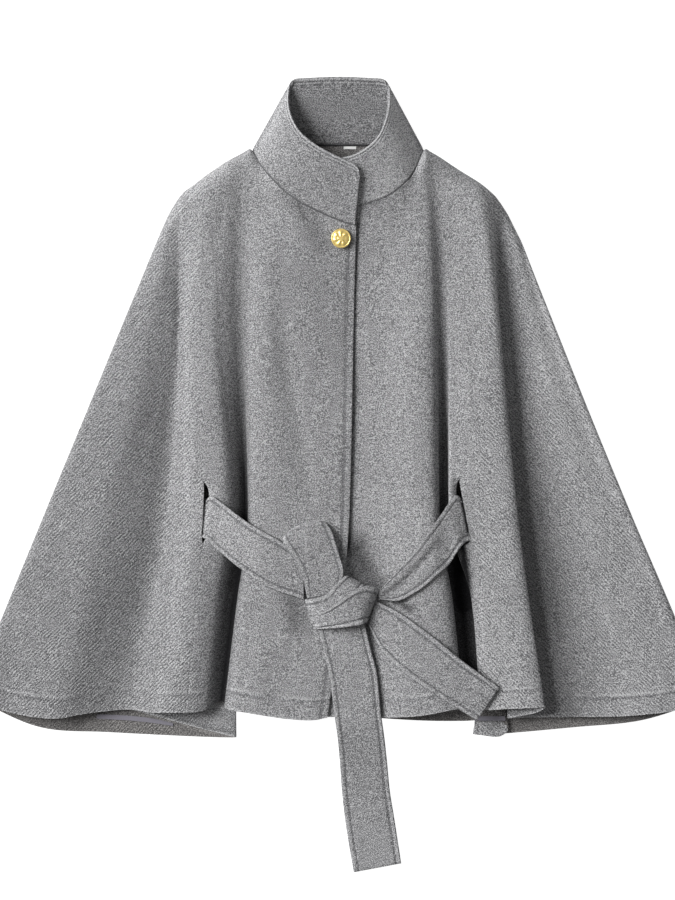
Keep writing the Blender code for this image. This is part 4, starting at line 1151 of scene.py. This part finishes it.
@dataclass
class Front:
    """One front: a body portion and a wing, folded as it lies."""

    side: Side
    neck_folds: Sequence[Fold]
    shoulder_folds: Sequence[Fold]
    slit: Slit
    creases: Sequence[Crease]
    painted_shades: dict[str, tuple[float, float, float, float]]
    rows: int = 190
    roll_rows: int = 18             # closer rows where the shoulder rolls
    roll_share: float = 0.09        # how far down it they reach
    column_pitch: float = 3.2
    edge_stitch: float = 8.4
    hem_stitch: float = 21.6
    slit_reach: int = 7             # how many columns each lip of its slit moves
    stitch_lift: float = 0.12

    @property
    def folds(self) -> list[Fold]:
        """All its fold lines, from its front edge to its outline."""
        return [*self.neck_folds, *self.shoulder_folds]

    def steps(self) -> list[int]:
        """How many columns each span between folds gets."""
        folds = self.folds
        spans = [max(abs(b.hem_x - a.hem_x), abs(b.middle_x - a.middle_x))
                 + 0.8 * abs(b.middle_z - a.middle_z) for a, b in zip(folds, folds[1:])]
        return [max(6, min(20, round(span / self.column_pitch))) for span in spans]

    def grid(self) -> np.ndarray:
        """Its outer face, rows x columns x 3, in millimetres."""
        shares = np.concatenate([
            np.linspace(0, 1, self.roll_rows + 1)[:-1] ** 2 * self.roll_share,
            np.linspace(self.roll_share, 1, self.rows - self.roll_rows)])
        levels = (CHEST_Y, BELT_Y, THIGH_Y)
        lines = [fold_line(fold, levels, shares, 0.0) for fold in self.neck_folds]
        lines += [fold_line(fold, levels, shares, SHOULDER_ROLL) for fold in self.shoulder_folds]
        grid = spline(np.stack(lines, axis=1), self.steps())
        settled = press(ripple(grid, 46.0, 1.3, 3.7 if self.side is Side.RIGHT else 9.2), self.creases)
        return self.stitched(settled)

    def from_edge(self, grid: np.ndarray) -> np.ndarray:
        """How far each point is from the front edge."""
        return np.linalg.norm(grid - grid[:, :1], axis=2)

    def from_hem(self, grid: np.ndarray) -> np.ndarray:
        """How far each point is above the hem."""
        return np.abs(grid[..., 1] - grid[-1:, :, 1])

    def stitched(self, grid: np.ndarray) -> np.ndarray:
        """Sinks the front edge's and the hem's rows of stitches."""
        sunk = grid.copy()
        sunk[..., 2] -= 0.55 * bell(self.from_edge(grid) - self.edge_stitch, 1.5)
        sunk[..., 2] -= 0.45 * bell(self.from_hem(grid) - self.hem_stitch, 2.2)
        return sunk

    def painted_shade_grid(self, grid: np.ndarray) -> np.ndarray:
        """How much painted shade each point gets: 1 deep in a valley, 0 in the open, below 0 painted
        highlight where it is lit.

        Args:
            grid: rows x columns x 3, in millimetres.
        Returns:
            rows x columns.
        """
        down = np.array([-290.0, THIGH_Y, BELT_Y, CHEST_Y, 330.0])
        lines = []
        for fold in self.folds:
            chest, belt, thigh, hem = self.painted_shades.get(fold.name, (0.0, 0.0, 0.0, 0.0))
            lines.append(np.interp(grid[:, 0, 1], down, [hem, thigh, belt, chest, 0.2 * chest]))
        places = np.concatenate([[0], np.cumsum(self.steps())])
        spread = np.arange(grid.shape[1])
        shade = np.array([np.interp(spread, places, row) for row in np.array(lines).T])
        return shade + painted_crease_shade(grid, self.creases)

    def stitch_and_painted_light(self, grid: np.ndarray) -> np.ndarray:
        """Its seam mark: painted shade along its stitching, and painted highlight on the raised strip beside
        the hem's stitching and along the hem's very edge.
        """
        above = self.from_hem(grid)
        # Painted shade along the hem's stitching, painted highlight on the strip above it and along the hem's
        # edge.
        seam = 0.7 * bell(above - self.hem_stitch, 1.6)
        seam -= 0.7 * bell(above - self.hem_stitch - 3.0, 1.6)
        seam -= 0.7 * bell(above - 0.5, 1.5)
        # These painted marks fade where the painted valley shade lies.
        seam *= np.clip(1 - np.maximum(self.painted_shade_grid(grid), 0), 0, 1)
        if self.side is Side.RIGHT:
            # Painted shade along the front edge's stitching.
            seam += bell(self.from_edge(grid) - self.edge_stitch, 1.5)
        return seam

    def part_slit(self, grid: np.ndarray, column: int) -> tuple[np.ndarray, np.ndarray, np.ndarray]:
        """Draws the belt slit's lips apart.

        Args:
            grid: rows x columns x 3, in millimetres.
            column: the one that the slit runs down.
        Returns:
            The grid with its first lip moved, the grid with its other lip moved, and how far
            open the slit is at each row.
        """
        rows = grid.shape[0]
        towards = 1.0 if grid[rows // 2, -1, 0] > grid[rows // 2, 0, 0] else -1.0
        slit = self.slit
        share = np.clip((slit.top_y - grid[:, column, 1]) / (slit.top_y - slit.foot_y), 0, 1)
        minus = slit.minus_top + (slit.minus_foot - slit.minus_top) * share
        plus = slit.plus_top + (slit.plus_foot - slit.plus_top) * share
        before, after = (minus, plus) if towards > 0 else (plus, minus)
        opened = np.clip(np.sin(math.pi * share), 0, 1) ** 0.35
        near, far = grid.copy(), grid.copy()
        for k in range(self.slit_reach):
            fade = (1 - k / self.slit_reach) ** 2
            near[:, column - k, 0] -= towards * before * opened * fade
            near[:, column - k, 2] -= slit.sag * opened * fade
            far[:, column + k, 0] += towards * after * opened * fade
            far[:, column + k, 2] += LIP_RISE * opened * fade
        return near, far, opened

    def build(self, finish: bpy.types.Material) -> tuple[bpy.types.Object, np.ndarray]:
        """Makes the front with its belt slit cut through.

        Args:
            finish: its wool.
        Returns:
            The front, and its grid for what is sewn on it.
        """
        grid = self.grid()
        rows, columns = grid.shape[:2]
        column = self.column("slit")
        near, far, opened = self.part_slit(grid, column)
        points = near.copy()
        points[:, column + 1:] = far[:, column + 1:]
        flat = points.reshape(-1, 3)
        parted = np.nonzero(opened > 1e-6)[0]
        twin = {int(row): rows * columns + i for i, row in enumerate(parted)}
        flat = np.concatenate([flat, far[parted, column]])
        faces = grid_faces(rows, columns)
        for i in range(rows - 1):
            at = i * (columns - 1) + column
            top_left, top_right, foot_right, foot_left = faces[at]
            faces[at] = (twin.get(i, top_left), top_right, foot_right, twin.get(i + 1, foot_left))
        made = make_object("front_" + self.side.value + "_cloth", flat, faces, [finish])
        # Painted light and shade for the wool: its seam mark and its painted valley shade.
        stitch_and_painted_light, dim = (np.concatenate([values.reshape(-1), values[parted, column]])
                      for values in (self.stitch_and_painted_light(grid), self.painted_shade_grid(grid)))
        mark_painted_light(made, stitch_and_painted_light, dim)
        face_up(made)
        return add_wall(made, CLOTH, -1.0), grid

    def edge_line(self, grid: np.ndarray, first: int, last: int) -> np.ndarray:
        """The row of stitches along its front edge."""
        away = self.from_edge(grid)
        found = [crossing(grid[row], away[row], self.edge_stitch) for row in range(first, last)]
        return np.array(found) + np.array([0, 0, self.stitch_lift])

    def column(self, name: str) -> int:
        """The grid's column along that fold line."""
        return sum(self.steps()[:[fold.name for fold in self.folds].index(name)])

    def hem_line(self, grid: np.ndarray, first: int, last: int) -> np.ndarray:
        """The row of stitches above its hem, between two columns."""
        above = self.from_hem(grid)
        found = [crossing(grid[:, column], above[:, column], self.hem_stitch)
                 for column in range(first, last)]
        return np.array(found) + np.array([0, 0, self.stitch_lift])


@dataclass
class Back:
    """The back: one layer on the surface, with a pleat pressed over at each side of its hem."""

    folds: Sequence[Fold]
    rows: int = 112
    steps_per_fold: int = 8

    def build(self, outside: bpy.types.Material, inside: bpy.types.Material) -> bpy.types.Object:
        """Makes the back.

        Args:
            outside: the wool of its right side, underneath.
            inside: the wool of its wrong side, on top.
        Returns:
            The back.
        """
        shares = np.concatenate([np.linspace(0, 0.66, 30)[:-1], np.linspace(0.66, 0.94, 50)[:-1],
                                 np.linspace(0.94, 1, self.rows - 78)])
        lines = [fold_line(fold, (CHEST_Y, BACK_FLAT_Y, BACK_PLEAT_Y), shares, 0.0) for fold in self.folds]
        grid = spline(np.stack(lines, axis=1), [self.steps_per_fold] * (len(self.folds) - 1))
        grid[..., 2] = np.clip(grid[..., 2], FLAT, LAST)
        made = make_object("back_cloth", grid.reshape(-1, 3), grid_faces(*grid.shape[:2]), [inside, outside])
        # Painted highlight along the pleat's turned edge and painted shadow above it.
        mark_painted_light(made, np.zeros(grid.shape[:2]), painted_crease_shade(grid, BACK_CREASES))
        face_up(made)
        return add_wall(made, CLOTH, 0.0, inner_slot=1)


# ------------------------------------------------------------------ collar, belt and fittings


def collar_painted_light(points: np.ndarray) -> np.ndarray:
    """Painted light and shade on the collar: painted shade on its back, which shows its inside, and under its
    over-lap, and painted light on its side towards +X.

    Args:
        points: ... x 3, in millimetres.
    Returns:
        A share for each point.
    """
    x, y, z = points[..., 0], points[..., 1], points[..., 2]
    # Painted shade on its low back part.
    inside = np.clip((14.0 - z) / 10.0, 0, 1) * 0.38
    lit = np.clip((z - 14) / 10, 0, 1)
    # Painted shade on its raised part towards -X, under its over-lap.
    left = 0.16 * lit * np.clip((20.0 - x) / 20.0, 0, 1)
    # Painted light on its raised part towards +X, which faces away from the key light.
    right = 0.24 * np.clip((z - 6) / 8, 0, 1) * np.clip((x - 20.0) / 35.0, 0, 1)
    return inside + left - right


def bow_crown(points: np.ndarray) -> np.ndarray:
    """Rounds the bow's top edge outwards.

    Args:
        points: ... x 3, in millimetres.
    Returns:
        The same points, those near the top edge moved up it.
    """
    left, right = np.array([-68.0, -78.0]), np.array([-13.5, -57.5])
    width = float(np.linalg.norm(right - left))
    along = (right - left) / width
    up = np.array([-along[1], along[0]])
    share = np.clip((points[..., :2] - left) @ along / width, 0, 1)
    near = np.clip(((points[..., :2] - left) @ up + 40) / 40, 0, 1)
    lift = 8.0 * 4 * share * (1 - share) - 4.5 * np.clip((share - 0.86) / 0.14, 0, 1) ** 2
    lift = lift - 3.0 * np.clip((0.1 - share) / 0.1, 0, 1) ** 2
    moved = points.copy()
    moved[..., :2] += (lift * near * near)[..., None] * up
    return moved


@dataclass
class Knot:
    """The belt's knot: a rounded lump with the belt's two turns laid over it."""

    foot: float = 37.6
    around: int = 28
    along: int = 30

    def build(self, finish: bpy.types.Material) -> bpy.types.Object:
        """Makes the knot.

        Args:
            finish: its wool.
        Returns:
            The closed, folded lump.
        """
        #            one x, y          other x, y       thickness
        table = np.array([
            (-36.0, -152.0, -27.0, -181.5, 3.0), (-28.0, -150.0, -18.0, -181.0, 6.5),
            (-12.0, -147.0, -3.0, -178.5, 9.5), (4.0, -138.0, 14.0, -178.0, 10.0),
            (20.0, -134.0, 30.0, -174.0, 9.0), (32.0, -134.0, 37.0, -165.0, 6.0),
            (39.0, -139.0, 41.0, -154.0, 3.0)])
        count = len(table)
        at = np.linspace(0, count - 1, self.along)
        rows = np.stack([monotone(range(count), table[:, k], at) for k in range(5)], axis=1)
        turns = np.arange(self.around) * 2 * math.pi / self.around
        across = 0.5 - 0.5 * np.sign(np.cos(turns)) * np.abs(np.cos(turns)) ** 0.6
        rise = (np.maximum(np.sin(turns), -0.25) + 0.25) / 1.25
        points = []
        for x1, y1, x2, y2, thick in rows:
            height = thick * rise ** 0.62
            points.append(np.stack([x1 + (x2 - x1) * across, y1 + (y2 - y1) * across,
                                    self.foot + height], axis=1))
        grid = np.array(points)
        faces = ring_faces(self.along, self.around)
        faces.append(tuple(range(self.around)))
        faces.append(tuple((self.along - 1) * self.around + j for j in reversed(range(self.around))))
        made = make_object("knot_cloth", grid.reshape(-1, 3), faces, [finish])
        with edited(made) as mesh:
            for stations in (KNOT_UNDER_STATIONS, KNOT_OVER_STATIONS):
                wrap = Band("knot_wrap", stations, BELT_CLOTH, across=26, groove=0.8).build(finish)
                mesh.from_mesh(wrap.data)
                bpy.data.objects.remove(wrap, do_unlink=True)
            bmesh.ops.recalc_face_normals(mesh, faces=mesh.faces)
        return made


@dataclass
class Button:
    """A domed brass button with a raised rim and a plain relief of petals."""

    centre: tuple[float, float, float] = BUTTON_PLACE
    radius: float = BUTTON_RADIUS
    petals: int = 7
    relief: float = 0.5
    inner: float = 0.2              # where the petals start, as a share of the radius
    outer: float = 0.86             # and where they end

    def build(self, finish: bpy.types.Material) -> bpy.types.Object:
        """Makes the button with its relief, which is a made-up one."""
        #           share of its radius, height
        profile = [(0.26, 0.0), (0.26, 1.2), (0.90, 1.5), (0.97, 1.8), (1.0, 2.3), (1.0, 2.8),
                   (0.98, 3.2), (0.94, 3.5), (0.89, 3.4), (0.86, 3.05), (0.82, 3.15), (0.74, 3.65),
                   (0.64, 4.1), (0.52, 4.45), (0.46, 4.4), (0.42, 4.3), (0.38, 4.55), (0.28, 4.75),
                   (0.14, 4.9), (0.04, 4.92)]
        made = turned("button_cap", [(share * self.radius, height) for share, height in profile], 64,
                      self.centre, finish)
        for vertex in made.data.vertices:
            x, y = vertex.co.x / MM - self.centre[0], vertex.co.y / MM - self.centre[1]
            share = math.hypot(x, y) / self.radius
            if self.inner < share < self.outer and vertex.co.z / MM > self.centre[2] + 2:
                petal = math.cos(self.petals * math.atan2(y, x) + 2.0 * share)
                swell = math.sin(math.pi * (share - self.inner) / (self.outer - self.inner))
                vertex.co.z += self.relief * MM * petal * swell
        return made


@dataclass
class Label:
    """The small blank label, sewn flat inside the back neck."""

    box: tuple[tuple[float, float, float], tuple[float, float, float]] = LABEL_BOX

    def build(self, finish: bpy.types.Material) -> bpy.types.Object:
        """Makes the label, a strip with rounded edges."""
        low, high = np.array(self.box[0]), np.array(self.box[1])
        stations = [Station((x, low[1], (low[2] + high[2]) / 2), (x, high[1], (low[2] + high[2]) / 2))
                    for x in np.linspace(low[0], high[0], 4)]
        return Band("label_weave", stations, high[2] - low[2], steps=4, across=6, groove=0.0,
                    rim=0.0).build(finish)


# ------------------------------------------------------------------ table, light and camera


@dataclass
class Studio:
    """The pale table, its soft light and the camera straight above it."""

    centre: tuple[float, float] = (-1.8, 28.8)  # what the picture's middle shows
    height: float = 5000.0
    tall: float = 1080.0                        # how much of the table the picture takes in
    reach: float = 6.0                          # from the table's middle to its sides, in metres
    gap: float = 0.8                            # from the coat down to the table

    def build(self) -> None:
        """Makes the table top, the lamps and the camera."""
        mesh = bpy.data.meshes.new("table_top")
        corners = [(x * self.reach, y * self.reach, -self.gap * MM)
                   for x, y in ((-1, -1), (1, -1), (1, 1), (-1, 1))]
        mesh.from_pydata(corners, [], [(0, 1, 2, 3)])
        white = Plain("table_white", (0.30, 0.30, 0.30), 0.9, grain_scale=40.0, grain_depth=0.004,
                      bump=0.0, glow=0.95)
        mesh.materials.append(white.build())
        link_object("table_top", mesh)
        self.lamp("key_light", (-2.0, 0.75, 1.38), 34.0, 5.0)
        self.lamp("fill_light", (1.2, -0.8, 3.0), 60.0, 0.15)
        world = bpy.data.worlds.new("soft_room")
        world.use_nodes = True
        background = world.node_tree.nodes["Background"]
        background.inputs["Color"].default_value = (1.0, 1.0, 1.0, 1.0)
        background.inputs["Strength"].default_value = 0.19
        bpy.context.scene.world = world
        bpy.context.scene.view_settings.view_transform = "Standard"
        data = bpy.data.cameras.new("camera")
        data.sensor_width = 36.0
        data.lens = 36.0 * self.height / self.tall
        data.clip_end = 50.0
        camera = link_object("camera", data)
        camera.location = (self.centre[0] * MM, self.centre[1] * MM, self.height * MM)
        bpy.context.scene.camera = camera

    def lamp(self, name: str, place: tuple[float, float, float], spread: float, strength: float) -> None:
        """A far, soft lamp that lights the coat evenly.

        Args:
            name: the lamp's name.
            place: the side it shines from, in metres from the coat.
            spread: how wide it looks from the coat, in degrees.
            strength: its light on a sheet that faces it.
        """
        data = bpy.data.lights.new(name, "SUN")
        data.angle = math.radians(spread)
        data.energy = strength
        made = link_object(name, data)
        made.location = place
        made.rotation_euler = (-Vector(place)).to_track_quat("-Z", "Y").to_euler()


def settle(piece: bpy.types.Object, nodes: Sequence[str] = ()) -> None:
    """Puts a finished piece on the coat, in the place of the solids it stands for."""
    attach(piece, ROOT)
    if nodes:
        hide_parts(*nodes)
    LOG.info("%s: %d faces", piece.name, len(piece.data.polygons))


def build_panels(wool: bpy.types.Material, inner_wool: bpy.types.Material) -> list[np.ndarray]:
    """Builds the back, the fronts and the collar.

    Args:
        wool: the wool's right side.
        inner_wool: its wrong side.
    Returns:
        The lines that the fronts' topstitching follows.
    """
    lines = []
    back = Back(BACK_FOLDS).build(wool, inner_wool)
    settle(back, ["back_panel"])
    fronts = (
        Front(Side.RIGHT, RIGHT_NECK_FOLDS, RIGHT_SHOULDER_FOLDS, RIGHT_SLIT, RIGHT_CREASES, RIGHT_PAINTED_SHADES),
        Front(Side.LEFT, LEFT_NECK_FOLDS, LEFT_SHOULDER_FOLDS, LEFT_SLIT, LEFT_CREASES, LEFT_PAINTED_SHADES),
    )
    for front in fronts:
        cloth, grid = front.build(wool)
        settle(cloth, ["front_" + front.side.value])
        if front.side is Side.RIGHT:
            lines.append(front.edge_line(grid, 8, grid.shape[0] - 1))
        lines.append(front.hem_line(grid, 12, front.column("body_edge")))
        lines.append(front.hem_line(grid, front.column("slit"), grid.shape[1] - 4))
    collar = Band("collar_cloth", COLLAR_STATIONS, COLLAR_CLOTH, face_offset=-0.5, steps=12, across=24,
                  stitch_in=4.6, rim=1.0, double=True, corner=9.0, reach=2.4, joined=True,
                  shade=collar_painted_light, creases=COLLAR_CREASES).build(wool)
    settle(collar, ["collar"])
    return lines


def build_belt(wool: bpy.types.Material) -> list[np.ndarray]:
    """Builds each stretch of the belt, and its knot.

    Args:
        wool: its finish.
    Returns:
        The lines that its topstitching follows.
    """
    lines = []
    belts = (
        ("belt_right_cloth", RUN_RIGHT_STATIONS, "belt_run_right", 0.16, "front_right_cloth"),
        ("belt_left_cloth", RUN_LEFT_STATIONS, "belt_run_left", 0.16, "front_left_cloth"),
        ("belt_inner_cloth", INNER_RUN_STATIONS, "belt_inner_run", 0.42, "back_cloth"),
        ("bow_cloth", BOW_STATIONS, "belt_bow", 0.16, "front_right_cloth"),
        ("tail_long_cloth", TAIL_LONG_STATIONS, "belt_tail_long", 0.31, "front_left_cloth"),
        ("tail_short_cloth", TAIL_SHORT_STATIONS, "belt_tail_short", 0.19, "front_left_cloth"),
    )
    for name, stations, node, length, under in belts:
        band = Band(name, stations, BELT_CLOTH, bend=bow_crown if node == "belt_bow" else None,
                    creases=RUN_LEFT_CREASES if node == "belt_run_left" else ())
        cloth = band.build(wool)
        settle(cloth, [node])
        if node != "belt_inner_run":
            for inset in (BELT_STITCH, -BELT_STITCH):
                shares = np.linspace(0.02, 0.98, 60)
                lines.append(np.array([band.point(share, inset, -0.2) for share in shares]))
    knot = Knot().build(wool)
    settle(knot, ["belt_knot"])
    return lines


def main() -> None:
    """Builds the coat, its fittings and the studio."""
    wool = Wool("grey_wool_coating").build()
    # The wrong side is the same wool in darker colours, partly painted shade for where it shows deep under
    # the fronts and their hems.
    inner_wool = Wool("grey_wool_wrong_side", dark=(0.088, 0.085, 0.084), light=(0.335, 0.323, 0.316),
                      twill=0.0).build()
    gilt = Plain("gilt_brass", (1.0, 0.74, 0.26), 0.38, metallic=0.6, bump=0.05).build()
    tape = Plain("tape_satin", (0.19, 0.182, 0.212), 0.55).build()
    white = Plain("label_white", (0.88, 0.88, 0.87), 0.8).build()
    thread = Plain("grey_thread", (0.25, 0.25, 0.26), 0.7).build()
    lines = build_panels(wool, inner_wool) + build_belt(wool)
    settle(Button().build(gilt), ["button"])
    settle(Label().build(white), ["neck_label"])
    for node in ("hem_tape_right", "hem_tape_left"):
        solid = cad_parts[node]
        solid.data.materials.clear()
        solid.data.materials.append(tape)
    settle(Topstitching(thread).build("topstitching", lines))
    Studio().build()


if __name__ == "__main__":
    main()
